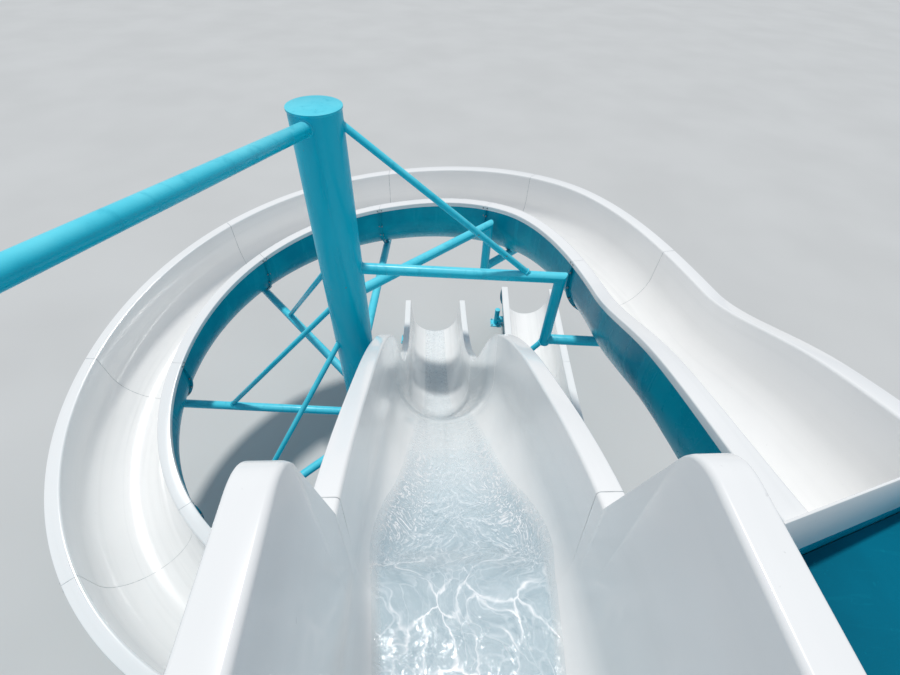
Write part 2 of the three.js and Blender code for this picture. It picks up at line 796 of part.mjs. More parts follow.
place('brace_left', brace(POSTS.rear_left, POSTS.front_left), steelPaint);
place('brace_right', brace(POSTS.rear_right, POSTS.front_right), steelPaint);
place('brace_rear', brace(POSTS.rear_left, POSTS.rear_right), steelPaint);

// Tie from the column's head to the platform's front left post
const tie = pipe(
  new THREE.Vector3(0, 0, TIE_COLUMN_HEIGHT),
  new THREE.Vector3(POST_LEFT, POST_FRONT, TIE_POST_HEIGHT),
  ARM_RADIUS,
);
place('tower_tie', carve(tie, [mainColumn(GAP), ...postTools]), steelPaint);

// Guardrails

/** Straight railing between two points of the deck, with a stanchion at least every bay. */
function railing([fromX, fromY], [toX, toY], { startPost = true, endPost = true } = {}) {
  const from = new THREE.Vector3(fromX, fromY, 0);
  const to = new THREE.Vector3(toX, toY, 0);
  const bays = Math.ceil(from.distanceTo(to) / RAIL_BAY);
  const rails = Array.from({ length: RAIL_ROWS }, (_, row) => {
    const height = DECK_TOP + RAIL_HEIGHT * (row + 1) / RAIL_ROWS;
    return pipe(from.clone().setZ(height), to.clone().setZ(height), RAIL_RADIUS, RAIL_SIDES);
  });
  const stanchions = [];
  for (let index = startPost ? 0 : 1; index <= (endPost ? bays : bays - 1); index += 1) {
    const foot = from.clone().lerp(to, index / bays);
    stanchions.push(upright(
      foot.x,
      foot.y,
      DECK_TOP + GAP,
      DECK_TOP + RAIL_HEIGHT + RAIL_RADIUS,
      RAIL_RADIUS,
      RAIL_SIDES,
    ));
  }
  return carve(join([...rails, ...stanchions]), postTools);
}

const tubLeft = STRAIGHT_X - STRAIGHT_FLUME.width / 2 - FRONT_RAIL_END;
const betweenPosts = { startPost: false, endPost: false };
place(
  'guardrail_left',
  railing(POSTS.front_left, [POST_LEFT, STAIR_SIDE + STAIR_WIDTH + GUARD_END], { startPost: false }),
  steelPaint,
);
place('guardrail_rear', railing(POSTS.rear_left, POSTS.rear_right, betweenPosts), steelPaint);
place('guardrail_right', railing(POSTS.rear_right, POSTS.front_right, betweenPosts), steelPaint);
place(
  'guardrail_right_front',
  railing(POSTS.front_right, [POST_RIGHT, RAIL_FRONT_END], { startPost: false }),
  steelPaint,
);
place(
  'guardrail_front',
  railing(POSTS.front_left, [tubLeft, POST_FRONT], { startPost: false }),
  steelPaint,
);

// Stair: two flights with a landing between them, going down towards -X

const flightRun = (RISERS_PER_FLIGHT - 1) * TREAD_GOING;
const riser = DECK_TOP / 2 / RISERS_PER_FLIGHT;
const landingTop = DECK_TOP / 2;
const upperStart = DECK.left - GAP;
const landingStart = upperStart - flightRun - GAP;
const lowerStart = landingStart - LANDING_LENGTH - GAP;

/** Side plate of a flight, on the line of the treads' edges. */
function stringer(start, top, y) {
  const fall = riser / TREAD_GOING;
  const outline = new THREE.Shape();
  const edge = top - riser + STRINGER.above;
  outline.moveTo(start, edge);
  outline.lineTo(start - flightRun, edge - flightRun * fall);
  outline.lineTo(start - flightRun, edge - flightRun * fall - STRINGER.depth);
  outline.lineTo(start, edge - STRINGER.depth);
  const geometry = new THREE.ExtrudeGeometry(outline, { depth: STRINGER.thickness, bevelEnabled: false });
  geometry.rotateX(quarter);
  geometry.translate(0, y + STRINGER.thickness, 0);
  return solid(geometry);
}

/** One flight: two side plates and the treads between them. */
function flight(start, top) {
  const treads = Array.from({ length: RISERS_PER_FLIGHT - 1 }, (_, index) => {
    const level = top - riser * (index + 1);
    const front = start - TREAD_GOING * index;
    return block(
      [front - TREAD_GOING, STAIR_SIDE + OVERLAP, level - TREAD_THICKNESS],
      [front, STAIR_SIDE + STAIR_WIDTH - OVERLAP, level],
    );
  });
  return join([
    ...treads,
    stringer(start, top, STAIR_SIDE),
    stringer(start, top, STAIR_SIDE + STAIR_WIDTH - STRINGER.thickness),
  ]);
}

const ground = block([-3 * FAR, -3 * FAR, -FAR], [0, 0, 0]);
place('stair_flight_upper', flight(upperStart, DECK_TOP), deckPaint);
place('stair_flight_lower', flight(lowerStart, landingTop).subtract(ground), deckPaint);

/** Landing plate on four legs. */
function landing() {
  const far = landingStart - LANDING_LENGTH;
  const high = landingTop - OVERLAP;
  const plate = block(
    [far, STAIR_SIDE, landingTop - LANDING_THICKNESS],
    [landingStart, STAIR_SIDE + STAIR_WIDTH, landingTop],
  );
  const legs = [landingStart - LANDING_LEG_INSET, far + LANDING_LEG_INSET].flatMap((x) => [
    upright(x, STAIR_SIDE + LANDING_LEG_INSET, 0, high, ARM_RADIUS),
    upright(x, STAIR_SIDE + STAIR_WIDTH - LANDING_LEG_INSET, 0, high, ARM_RADIUS),
  ]);
  return join([plate, ...legs]);
}

place('stair_landing', landing(), deckPaint);

/** Handrail along one side of the whole stair, fixed to the outside of the side plates. */
function handrail(y) {
  const fall = riser / TREAD_GOING;
  const lowest = lowerStart - flightRun + RAIL_END;
  const lineHeight = (x) => {
    if (x > landingStart) {
      return DECK_TOP - riser - (upperStart - x) * fall;
    }
    return x > lowerStart ? landingTop - riser : landingTop - riser - (lowerStart - x) * fall;
  };
  const corners = [upperStart - RAIL_END, landingStart, lowerStart, lowest];
  const rails = [RAIL_HEIGHT, RAIL_HEIGHT / 2].flatMap((height) => corners.slice(1).map((x, index) => {
    const before = corners[index];
    return pipe(
      new THREE.Vector3(before, y, lineHeight(before) + riser + height),
      new THREE.Vector3(x, y, lineHeight(x) + riser + height),
      RAIL_RADIUS,
      RAIL_SIDES,
    );
  }));
  const middle = (one, other) => (one + other) / 2;
  const places = [
    corners[0],
    middle(corners[0], corners[1]),
    corners[1],
    corners[2],
    middle(corners[2], corners[3]),
    corners[3],
  ];
  const stanchions = places.map((x) => upright(
    x,
    y,
    lineHeight(x) - RAIL_FOOT_DROP,
    lineHeight(x) + riser + RAIL_HEIGHT + RAIL_RADIUS,
    RAIL_RADIUS,
    RAIL_SIDES,
  ));
  return join([...rails, ...stanchions]);
}

const railOffset = RAIL_RADIUS + GAP;
const frontRail = handrail(STAIR_SIDE + STAIR_WIDTH + railOffset);
const rearRail = handrail(STAIR_SIDE - railOffset);
place('stair_handrail_front', frontRail.subtract(ground), steelPaint);
place('stair_handrail_rear', rearRail.subtract(ground), steelPaint);

export default tower;
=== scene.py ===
"""Looks for the water slide tower: two flumes, their steelwork, the start platform and its stair.

Sizes are in metres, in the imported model's frame: the middle of the column's foot is the origin, +Z is up,
and the riders leave the platform towards +Y.
"""

import logging  # noqa: E402
import math  # noqa: E402
from dataclasses import dataclass, field  # noqa: E402
from enum import Enum  # noqa: E402
from typing import Callable, ClassVar, Iterable, Optional, Sequence, Union  # noqa: E402

import bmesh  # noqa: E402
import bpy  # noqa: E402
from mathutils import Matrix, Vector, noise  # noqa: E402


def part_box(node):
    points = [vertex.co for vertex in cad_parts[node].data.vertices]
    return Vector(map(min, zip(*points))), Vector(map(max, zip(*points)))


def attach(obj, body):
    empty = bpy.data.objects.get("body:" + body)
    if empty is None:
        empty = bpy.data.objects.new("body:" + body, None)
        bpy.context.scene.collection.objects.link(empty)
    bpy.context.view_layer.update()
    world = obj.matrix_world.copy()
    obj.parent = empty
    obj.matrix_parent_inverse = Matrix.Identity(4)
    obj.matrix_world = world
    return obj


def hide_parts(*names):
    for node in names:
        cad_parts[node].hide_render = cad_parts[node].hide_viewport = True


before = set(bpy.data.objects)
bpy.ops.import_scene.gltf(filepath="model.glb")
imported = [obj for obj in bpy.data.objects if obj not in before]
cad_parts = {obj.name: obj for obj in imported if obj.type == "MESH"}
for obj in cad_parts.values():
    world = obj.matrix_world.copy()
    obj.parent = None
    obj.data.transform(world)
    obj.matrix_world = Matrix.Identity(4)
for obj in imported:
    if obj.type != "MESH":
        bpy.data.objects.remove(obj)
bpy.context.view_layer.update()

log = logging.getLogger("slide_tower")

UP = Vector((0.0, 0.0, 1.0))
QUARTER = math.pi / 2
SHARP_ANGLE = math.radians(32)

Colour = tuple[float, float, float, float]
Point = tuple[float, float]
Operand = Union["Value", float]
Output = Union[int, str]
Mesh = bmesh.types.BMesh
Edge = bmesh.types.BMEdge


class Slot(Enum):
    """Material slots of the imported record."""

    GELCOAT = "slide_gelcoat"
    STEEL = "steel_paint"
    DECK = "deck_paint"


def paint(red: int, green: int, blue: int) -> Colour:
    """Colour from screen values of 0 to 255.

    Args:
        red: Red screen value.
        green: Green screen value.
        blue: Blue screen value.

    Returns:
        The linear colour with an alpha of 1.
    """

    def linear(value: int) -> float:
        """Linear light of one screen value."""
        share = value / 255
        return share / 12.92 if share <= 0.04045 else ((share + 0.055) / 1.055) ** 2.4

    return (linear(red), linear(green), linear(blue), 1.0)


# Shaders


class Value:
    """One output of a shader node, which can be used in ordinary sums."""

    def __init__(self, graph: "Graph", socket: bpy.types.NodeSocket) -> None:
        """Keeps the graph and the socket."""
        self.graph = graph
        self.socket = socket

    def sum(self, operation: str, first: Operand, second: Operand) -> "Value":
        """Adds one Math node.

        Args:
            operation: The Math node's operation.
            first: Its first value.
            second: Its second value.

        Returns:
            The node's result.
        """
        return self.graph.node("ShaderNodeMath", {"operation": operation}, {0: first, 1: second})

    def __add__(self, other: Operand) -> "Value":
        """Sum."""
        return self.sum("ADD", self, other)

    def __radd__(self, other: Operand) -> "Value":
        """Sum with a number first."""
        return self.sum("ADD", other, self)

    def __sub__(self, other: Operand) -> "Value":
        """Difference."""
        return self.sum("SUBTRACT", self, other)

    def __rsub__(self, other: Operand) -> "Value":
        """Difference from a number."""
        return self.sum("SUBTRACT", other, self)

    def __mul__(self, other: Operand) -> "Value":
        """Product."""
        return self.sum("MULTIPLY", self, other)

    def __rmul__(self, other: Operand) -> "Value":
        """Product with a number first."""
        return self.sum("MULTIPLY", other, self)

    def size(self) -> "Value":
        """Value without its sign."""
        return self.sum("ABSOLUTE", self, 0.0)

    def between(self, low: float, high: float) -> "Value":
        """Mask that rises smoothly from 0 to 1.

        Args:
            low: Where the mask is 0. It may be above high for a falling mask.
            high: Where the mask is 1.

        Returns:
            The mask.
        """
        settings = {"interpolation_type": "SMOOTHSTEP"}
        if low < high:
            return self.graph.node("ShaderNodeMapRange", settings, {0: self, 1: low, 2: high, 3: 0.0, 4: 1.0})
        return self.graph.node("ShaderNodeMapRange", settings, {0: self, 1: high, 2: low, 3: 1.0, 4: 0.0})


class Graph:
    """Nodes of one material."""

    def __init__(self, name: str) -> None:
        """Starts an empty material.

        Args:
            name: The material's name.
        """
        self.material = bpy.data.materials.new(name)
        self.material.use_nodes = True
        self.tree = self.material.node_tree
        self.tree.nodes.clear()

    def node(
        self, kind: str, settings: Optional[dict] = None, inputs: Optional[dict] = None, output: Output = 0
    ) -> Value:
        """Adds a node.

        Args:
            kind: The node's type.
            settings: Its properties, which are set first.
            inputs: Values or links of its sockets, by name or number.
            output: Which of its outputs to return.

        Returns:
            That output.
        """
        made = self.tree.nodes.new(kind)
        for key, value in (settings or {}).items():
            setattr(made, key, value)
        for key, value in (inputs or {}).items():
            if isinstance(value, Value):
                self.tree.links.new(value.socket, made.inputs[key])
            else:
                made.inputs[key].default_value = value
        return Value(self, made.outputs[output])

    def place(self) -> Value:
        """Place on the object."""
        return self.node("ShaderNodeTexCoord", output="Object")

    def flow(self) -> Value:
        """Distance along the slide and around its section, from the piece's own map."""
        return self.node("ShaderNodeUVMap", {"uv_map": "flow"})

    def parts(self, vector: Value) -> tuple[Value, Value, Value]:
        """The three numbers of a vector."""
        split = self.node("ShaderNodeSeparateXYZ", None, {0: vector}).socket.node
        return tuple(Value(self, socket) for socket in split.outputs)

    def facing(self) -> tuple[Value, Value, Value]:
        """Direction that the surface faces."""
        return self.parts(self.node("ShaderNodeNewGeometry", output="Normal"))

    def stretch(self, vector: Value, scale: Sequence[float]) -> Value:
        """A vector scaled by a different amount each way."""
        return self.node("ShaderNodeMapping", None, {"Vector": vector, "Scale": scale})

    def grain(self, vector: Value, scale: float, detail: float = 3.0, distortion: float = 0.0) -> Value:
        """Noise around 0.5.

        Args:
            vector: Where to read it.
            scale: Its fineness.
            detail: How many finer layers it has.
            distortion: How far it is warped.

        Returns:
            The noise.
        """
        inputs = {"Vector": vector, "Scale": scale, "Detail": detail, "Distortion": distortion}
        return self.node("ShaderNodeTexNoise", None, inputs)

    def net(self, vector: Value, scale: float) -> Value:
        """Distance to the nearest line of a net of cells."""
        settings = {"feature": "DISTANCE_TO_EDGE"}
        return self.node("ShaderNodeTexVoronoi", settings, {"Vector": vector, "Scale": scale}, "Distance")

    def warped(self, vector: Value, scale: float, reach: float) -> Value:
        """A vector moved about by noise.

        Args:
            vector: The vector.
            scale: Fineness of the noise.
            reach: How far it moves.

        Returns:
            The moved vector.
        """
        inputs = {"Vector": vector, "Scale": scale, "Detail": 2.0}
        cloud = self.node("ShaderNodeTexNoise", None, inputs, "Color")
        shift = self.node("ShaderNodeVectorMath", {"operation": "SCALE"}, {0: cloud, "Scale": reach})
        return self.node("ShaderNodeVectorMath", {"operation": "ADD"}, {0: vector, 1: shift})

    def mix(self, mask: Operand, first: Union[Value, Colour], second: Union[Value, Colour]) -> Value:
        """Colour between two colours.

        Args:
            mask: 0 for the first and 1 for the second.
            first: One colour.
            second: The other.

        Returns:
            The mixed colour.
        """
        return self.node("ShaderNodeMix", {"data_type": "RGBA"}, {0: mask, 6: first, 7: second}, 2)

    def bump(self, height: Value, strength: float, depth: float, below: Optional[Value] = None) -> Value:
        """Surface direction from a height.

        Args:
            height: The height, of about 0 to 1.
            strength: How strong it shows.
            depth: Depth in metres of a height of 1.
            below: Another bump to lay this one on.

        Returns:
            The direction.
        """
        inputs = {"Height": height, "Strength": strength, "Distance": depth}
        if below is not None:
            inputs["Normal"] = below
        return self.node("ShaderNodeBump", None, inputs)

    def surface(self, varying: dict, fixed: Optional[dict] = None) -> bpy.types.Material:
        """Ends the material.

        Args:
            varying: What the principled shader takes from links, by socket.
            fixed: What is set on its own sockets.

        Returns:
            The material.
        """
        shader = self.node("ShaderNodeBsdfPrincipled", None, {**(fixed or {}), **varying})
        output = self.tree.nodes.new("ShaderNodeOutputMaterial")
        self.tree.links.new(shader.socket, output.inputs["Surface"])
        return self.material


class Finish:
    """A surface finish, whose material is made once and shared."""

    made: ClassVar[dict] = {}

    def material(self) -> bpy.types.Material:
        """The finish's material.

        Returns:
            The one material that all its pieces share.
        """
        if self not in Finish.made:
            Finish.made[self] = self.build()
        return Finish.made[self]

    def build(self) -> bpy.types.Material:
        """Makes the material."""
        raise NotImplementedError


@dataclass(frozen=True)
class RideGelcoat(Finish):
    """White gelcoat of the channels and the rims, with faint streaks along the flow.

    Attributes:
        stained: Colour where water has run and dirt has settled.
        streaks: How much of the stain the streaks bring.
        bed: Half width of the worn bed in the bottom, around the section.
    """

    name: str = "ride_gelcoat"
    colour: Colour = paint(250, 249, 247)
    stained: Colour = paint(230, 230, 228)
    streaks: float = 0.5
    bed: float = 0.3

    def build(self) -> bpy.types.Material:
        """Makes the material.

        Returns:
            The material.
        """
        graph = Graph(self.name)
        place = graph.place()
        flow = graph.flow()
        around = graph.parts(flow)[1].size()
        cloud = graph.grain(place, 1.1, 3.0).between(0.35, 0.75)
        streak = graph.grain(graph.stretch(flow, (0.5, 16.0, 1.0)), 1.0, 4.0, 0.4).between(0.45, 0.8)
        specks = graph.grain(place, 46.0, 2.0).between(0.74, 0.8)
        bed = around.between(self.bed + 0.12, self.bed - 0.12)
        stain = cloud * 0.25 + streak * self.streaks * (0.35 + 0.65 * bed) + bed * 0.14
        base = graph.mix(stain, self.colour, self.stained)
        colour = graph.mix(specks * 0.2, base, paint(160, 160, 158))
        rough = 0.13 + cloud * 0.07 + streak * 0.08 + bed * 0.03
        waves = graph.bump(graph.grain(place, 5.0, 2.0), 0.25, 0.004)
        peel = graph.bump(graph.grain(place, 320.0, 2.0), 0.05, 0.0006, waves)
        fixed = {"IOR": 1.5, "Coat Weight": 0.35, "Coat Roughness": 0.06}
        return graph.surface({"Base Color": colour, "Roughness": rough, "Normal": peel}, fixed)


@dataclass(frozen=True)
class BackGelcoat(Finish):
    """Teal gelcoat of the flumes' undersides, with run marks and a chalky bloom."""

    name: str = "back_gelcoat"
    colour: Colour = paint(0, 176, 198)
    deep: Colour = paint(0, 150, 176)
    chalk: Colour = paint(10, 190, 208)

    def build(self) -> bpy.types.Material:
        """Makes the material.

        Returns:
            The material.
        """
        graph = Graph(self.name)
        place = graph.place()
        cloud = graph.grain(place, 2.3, 4.0).between(0.3, 0.75)
        runs = graph.grain(graph.stretch(place, (9.0, 9.0, 0.7)), 1.0, 4.0, 0.3).between(0.52, 0.78)
        dust = graph.grain(place, 70.0, 3.0).between(0.62, 0.72)
        body = graph.mix(cloud, self.deep, self.colour)
        colour = graph.mix(runs * 0.3 + dust * 0.1, body, self.chalk)
        rough = 0.2 + cloud * 0.1 + runs * 0.14 + dust * 0.1
        waves = graph.bump(graph.grain(place, 7.0, 2.0), 0.3, 0.004)
        weave = graph.bump(graph.grain(place, 150.0, 2.0), 0.08, 0.0012, waves)
        fixed = {"IOR": 1.5, "Specular IOR Level": 0.12, "Coat Weight": 0.04, "Coat Roughness": 0.12}
        return graph.surface({"Base Color": colour, "Roughness": rough, "Normal": weave}, fixed)


@dataclass(frozen=True)
class PipePaint(Finish):
    """Turquoise paint of the steelwork: paler on top, partly sun bleaching of the paint and partly painted
    light on the upward faces; glossy below, with chips and rust at a few spots.
    """

    name: str = "pipe_paint"
    colour: Colour = paint(4, 198, 226)
    faded_and_lit: Colour = paint(116, 232, 248)
    deep: Colour = paint(0, 166, 194)
    rust: Colour = paint(112, 62, 34)

    def build(self) -> bpy.types.Material:
        """Makes the material.

        Returns:
            The material.
        """
        graph = Graph(self.name)
        place = graph.place()
        top = graph.facing()[2].between(0.1, 1.0)
        cloud = graph.grain(place, 3.1, 4.0).between(0.3, 0.72)
        grime = graph.grain(graph.stretch(place, (16.0, 16.0, 1.6)), 1.0, 4.0, 0.4).between(0.5, 0.78)
        chips = graph.grain(place, 26.0, 5.0).between(0.735, 0.755)
        # Partly painted light: upward faces are mixed towards the pale colour, standing both for sun
        # bleaching and for the light that falls on the tops.
        body = graph.mix(top * (0.55 + 0.4 * cloud), self.colour, self.faded_and_lit)
        worn = graph.mix(grime * 0.4, body, self.deep)
        colour = graph.mix(chips * 0.85, worn, self.rust)
        rough = 0.24 + top * 0.08 + grime * 0.12 + chips * 0.35
        peel = graph.bump(graph.grain(place, 240.0, 2.0), 0.09, 0.0008)
        flakes = graph.bump(1.0 - chips, 0.3, 0.0004, peel)
        fixed = {"IOR": 1.48, "Specular IOR Level": 0.25, "Coat Weight": 0.1, "Coat Roughness": 0.15}
        return graph.surface({"Base Color": colour, "Roughness": rough, "Normal": flakes}, fixed)


@dataclass(frozen=True)
class DeckCoat(Finish):
    """Teal deck coating with anti-slip grit, scuffs and splashes."""

    name: str = "deck_coat"
    colour: Colour = paint(0, 114, 140)
    worn: Colour = paint(10, 134, 156)
    deep: Colour = paint(0, 100, 124)

    def build(self) -> bpy.types.Material:
        """Makes the material.

        Returns:
            The material.
        """
        graph = Graph(self.name)
        place = graph.place()
        cloud = graph.grain(place, 1.7, 5.0, 0.3).between(0.3, 0.75)
        wet = graph.grain(place, 0.9, 3.0, 0.8).between(0.52, 0.6)
        grit = graph.grain(place, 420.0, 2.0)
        scuffs = graph.grain(graph.stretch(place, (4.0, 30.0, 4.0)), 1.0, 5.0, 1.2).between(0.6, 0.72)
        splash = graph.grain(place, 34.0, 3.0).between(0.68, 0.72)
        body = graph.mix(cloud, self.deep, self.colour)
        colour = graph.mix(scuffs * 0.12 + splash * 0.2, body, self.worn)
        rough = 0.62 - wet * 0.34 + grit * 0.1
        sand = graph.bump(grit, 0.35, 0.0012)
        fixed = {"Specular IOR Level": 0.06}
        return graph.surface({"Base Color": colour, "Roughness": rough, "Normal": sand}, fixed)


@dataclass(frozen=True)
class Zinc(Finish):
    """Galvanised steel of the bolts, nuts and washers."""

    name: str = "zinc_bolts"
    colour: Colour = paint(196, 200, 202)
    dull: Colour = paint(140, 145, 148)

    def build(self) -> bpy.types.Material:
        """Makes the material.

        Returns:
            The material.
        """
        graph = Graph(self.name)
        place = graph.place()
        spangle = graph.grain(place, 90.0, 3.0).between(0.35, 0.7)
        colour = graph.mix(spangle, self.dull, self.colour)
        rough = 0.3 + spangle * 0.22
        dents = graph.bump(graph.grain(place, 300.0, 2.0), 0.15, 0.0005)
        return graph.surface({"Base Color": colour, "Roughness": rough, "Normal": dents}, {"Metallic": 0.9})


@dataclass(frozen=True)
class Sealant(Finish):
    """Grey sealant in the flumes' joints."""

    name: str = "joint_sealant"
    colour: Colour = paint(206, 209, 209)
    dark: Colour = paint(160, 165, 167)

    def build(self) -> bpy.types.Material:
        """Makes the material.

        Returns:
            The material.
        """
        graph = Graph(self.name)
        place = graph.place()
        mottle = graph.grain(place, 24.0, 4.0).between(0.35, 0.7)
        colour = graph.mix(mottle, self.dark, self.colour)
        skin = graph.bump(graph.grain(place, 200.0, 2.0), 0.3, 0.001)
        return graph.surface({"Base Color": colour, "Roughness": 0.55 + mottle * 0.15, "Normal": skin})


@dataclass(frozen=True)
class WaterSkin(Finish):
    """Running water in the straight slide: clear and rippled, with froth and a painted net of bright gathered
    light (caustics).
    """

    name: str = "running_water"
    colour: Colour = paint(166, 198, 212)
    # Colour of the froth and of the painted caustic light.
    bright: Colour = paint(253, 254, 255)

    def build(self) -> bpy.types.Material:
        """Makes the material.

        Returns:
            The material.
        """
        graph = Graph(self.name)
        place = graph.place()
        along = graph.parts(place)[1]
        chute = along.between(-2.3, -1.9)
        film = along.between(-2.05, -1.15)
        around = graph.parts(graph.flow())[1].size()
        bank = around.between(0.1, 0.42)
        moved = graph.warped(graph.warped(place, 3.5, 0.3), 14.0, 0.06)
        wide = graph.net(graph.stretch(moved, (1.0, 0.8, 0.5)), 6.5)
        fine = graph.net(graph.stretch(moved, (1.0, 0.7, 0.5)), 19.0)
        patches = graph.grain(place, 6.0, 2.0).between(0.38, 0.62)
        # Painted light: the bright caustic net, a finer second net and the soft glow beside the lines stand
        # for light gathered by the ripples; the froth is the water's own.
        lines = wide.between(0.05, 0.0) * (0.25 + 0.75 * patches) * (1.0 - 0.6 * chute)
        caustic_threads = fine.between(0.09, 0.0) * (0.9 - 0.6 * patches)
        froth = graph.grain(graph.stretch(moved, (1.0, 0.7, 0.7)), 74.0, 3.0, 0.4).between(0.48, 0.64)
        foam = froth * (0.1 + (0.25 + 0.6 * bank) * chute)
        caustics_and_froth = lines * 0.8 + wide.between(0.35, 0.0) * 0.16 + caustic_threads * 0.4 + foam
        colour = graph.mix(caustics_and_froth, self.colour, self.bright)
        alpha = (0.42 - 0.34 * film + caustics_and_froth * (0.45 - 0.15 * film)) * (1.0 - 0.7 * around.between(0.43, 0.5))
        rough = 0.04 + froth * 0.12
        ripples = graph.bump(graph.grain(moved, 18.0, 4.0, 0.6), 0.45, 0.012)
        varying = {"Base Color": colour, "Roughness": rough, "Alpha": alpha, "Normal": ripples}
        return graph.surface(varying, {"IOR": 1.33})


@dataclass(frozen=True)
class FloorPaint(Finish):
    """Plain pale floor around the tower."""

    name: str = "pale_floor"
    colour: Colour = paint(200, 200, 198)

    def build(self) -> bpy.types.Material:
        """Makes the material.

        Returns:
            The material.
        """
        graph = Graph(self.name)
        cloud = graph.grain(graph.place(), 0.4, 2.0).between(0.2, 0.8)
        colour = graph.mix(cloud, self.colour, paint(206, 206, 204))
        return graph.surface({"Base Color": colour, "Roughness": 0.85 - cloud * 0.05})


RIDE = RideGelcoat()
BACK = BackGelcoat()
STEEL = PipePaint()
DECK = DeckCoat()
ZINC = Zinc()
SEAL = Sealant()
WATER = WaterSkin()


# Meshes


def mark_sharp(mesh: Mesh, limit: float = SHARP_ANGLE) -> None:
    """Makes faces smooth and keeps the edges that turn further than a limit sharp.

    Args:
        mesh: The mesh.
        limit: The angle between two faces.
    """
    for face in mesh.faces:
        face.smooth = True
    for edge in mesh.edges:
        edge.smooth = len(edge.link_faces) == 2 and edge.calc_face_angle(0.0) < limit


def facing_matrix(start: Vector, along: Vector) -> Matrix:
    """Matrix that turns +Z to a direction and moves the origin to a point.

    Args:
        start: Where the origin goes.
        along: Where +Z goes.

    Returns:
        The matrix.
    """
    turn = along.to_track_quat("Z", "Y") if along.length else UP.to_track_quat("Z", "Y")
    return Matrix.Translation(start) @ turn.to_matrix().to_4x4()


def edges_of(items: Iterable) -> list[Edge]:
    """The edges among what a mesh operator made."""
    return [item for item in items if isinstance(item, Edge)]


def soften(mesh: Mesh, edges: list[Edge], size: float) -> None:
    """Bevels edges.

    Args:
        mesh: The mesh.
        edges: Its edges to soften.
        size: Size of the bevel.
    """
    bmesh.ops.bevel(
        mesh,
        geom=edges,
        offset=size,
        segments=2,
        profile=0.5,
        affect="EDGES",
        material=-1,
        clamp_overlap=True,
    )


def stack(mesh: Mesh, foot: float, sides: int, radii: Point, depth: float) -> None:
    """Adds a round or many-sided block along +Z.

    Args:
        mesh: The mesh that takes it.
        foot: Height of its foot.
        sides: Number of sides.
        radii: Radius at the foot and at the top.
        depth: Its height.
    """
    place = Matrix.Translation((0, 0, foot + depth / 2))
    low, high = radii
    bmesh.ops.create_cone(
        mesh, cap_ends=True, segments=sides, radius1=low, radius2=high, depth=depth, matrix=place
    )


def placed(name: str, data: bpy.types.ID) -> bpy.types.Object:
    """A new object in the scene.

    Args:
        name: Its name.
        data: Its mesh, camera or light.

    Returns:
        The object.
    """
    made = bpy.data.objects.new(name, data)
    bpy.context.scene.collection.objects.link(made)
    return made


class Piece:
    """A named mesh in the making, with one or more finishes."""

    def __init__(
        self, node: str, kind: str, finishes: Sequence[Finish], slot: Slot = Slot.STEEL, mapped: bool = False
    ) -> None:
        """Starts an empty piece.

        Args:
            node: The CAD node that it stands for, or its own name where the kind is empty.
            kind: What it shows of the node, which ends its name.
            finishes: Its finishes, which parts take by number.
            slot: The record's slot of the main finish; kept on the piece but not used.
            mapped: Whether it carries the map along and around the slide.
        """
        self.name = f"{node}_{kind}" if kind else node
        self.nodes = [node] if kind else []
        self.finishes = list(finishes)
        self.slot = slot
        self.mesh = bmesh.new()
        if mapped:
            self.mesh.loops.layers.uv.new("flow")

    def add(self, part: Mesh, finish: int = 0, place: Optional[Matrix] = None) -> None:
        """Adds a part, and frees it.

        Args:
            part: The part's mesh.
            finish: Number of the part's finish, or -1 to keep what its faces say.
            place: Where the part goes.
        """
        if finish >= 0:
            for face in part.faces:
                face.material_index = finish
        if place is not None:
            bmesh.ops.transform(part, matrix=place, verts=part.verts)
        bmesh.ops.recalc_face_normals(part, faces=part.faces)
        mark_sharp(part)
        carrier = bpy.data.meshes.new("part")
        part.to_mesh(carrier)
        part.free()
        self.mesh.from_mesh(carrier)
        bpy.data.meshes.remove(carrier)

    def done(self) -> None:
        """Makes the object, which rides on the tower's one body."""
        data = bpy.data.meshes.new(self.name)
        self.mesh.to_mesh(data)
        self.mesh.free()
        for finish in self.finishes:
            data.materials.append(finish.material())
        made = placed(self.name, data)
        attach(made, "root")
        if self.nodes:
            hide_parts(*self.nodes)
        log.info("%s: %d faces", self.name, len(data.polygons))


def rod(start: Vector, end: Vector, radius: float, sides: int = 28, edge: float = 0.0025) -> Mesh:
    """Round bar or pipe with softened ends.

    Args:
        start: Middle of one end.
        end: Middle of the other.
        radius: Radius.
        sides: Number of sides.
        edge: Size of the softened end edges.

    Returns:
        The bar.
    """
    along = end - start
    mesh = bmesh.new()
    stack(mesh, -along.length / 2, sides, (radius, radius), along.length)
    rims = [item for item in mesh.edges if abs(item.verts[0].co.z - item.verts[1].co.z) < 1e-6]
    soften(mesh, rims, edge)
    bmesh.ops.transform(mesh, matrix=facing_matrix((start + end) / 2, along), verts=mesh.verts)
    return mesh


def disc(centre: Vector, along: Vector, radius: float, depth: float, sides: int = 28) -> Mesh:
    """Flat round plate that stands on a point.

    Args:
        centre: Middle of its foot.
        along: The way that it rises.
        radius: Radius.
        depth: Thickness.
        sides: Number of sides.

    Returns:
        The plate.
    """
    return rod(centre, centre + along.normalized() * depth, radius, sides, min(depth * 0.2, 0.003))


def slab(low: Sequence[float], high: Sequence[float], edge: float = 0.003) -> Mesh:
    """Box between two corners with softened edges.

    Args:
        low: Lowest corner.
        high: Highest corner.
        edge: Size of the softened edges.

    Returns:
        The box.
    """
    low_corner = Vector(low)
    size = Vector(high) - low_corner
    mesh = bmesh.new()
    bmesh.ops.create_cube(mesh, size=1.0)
    bmesh.ops.scale(mesh, vec=size, verts=mesh.verts)
    bmesh.ops.translate(mesh, vec=low_corner + size / 2, verts=mesh.verts)
    soften(mesh, list(mesh.edges), min(edge, min(size) * 0.3))
    return mesh


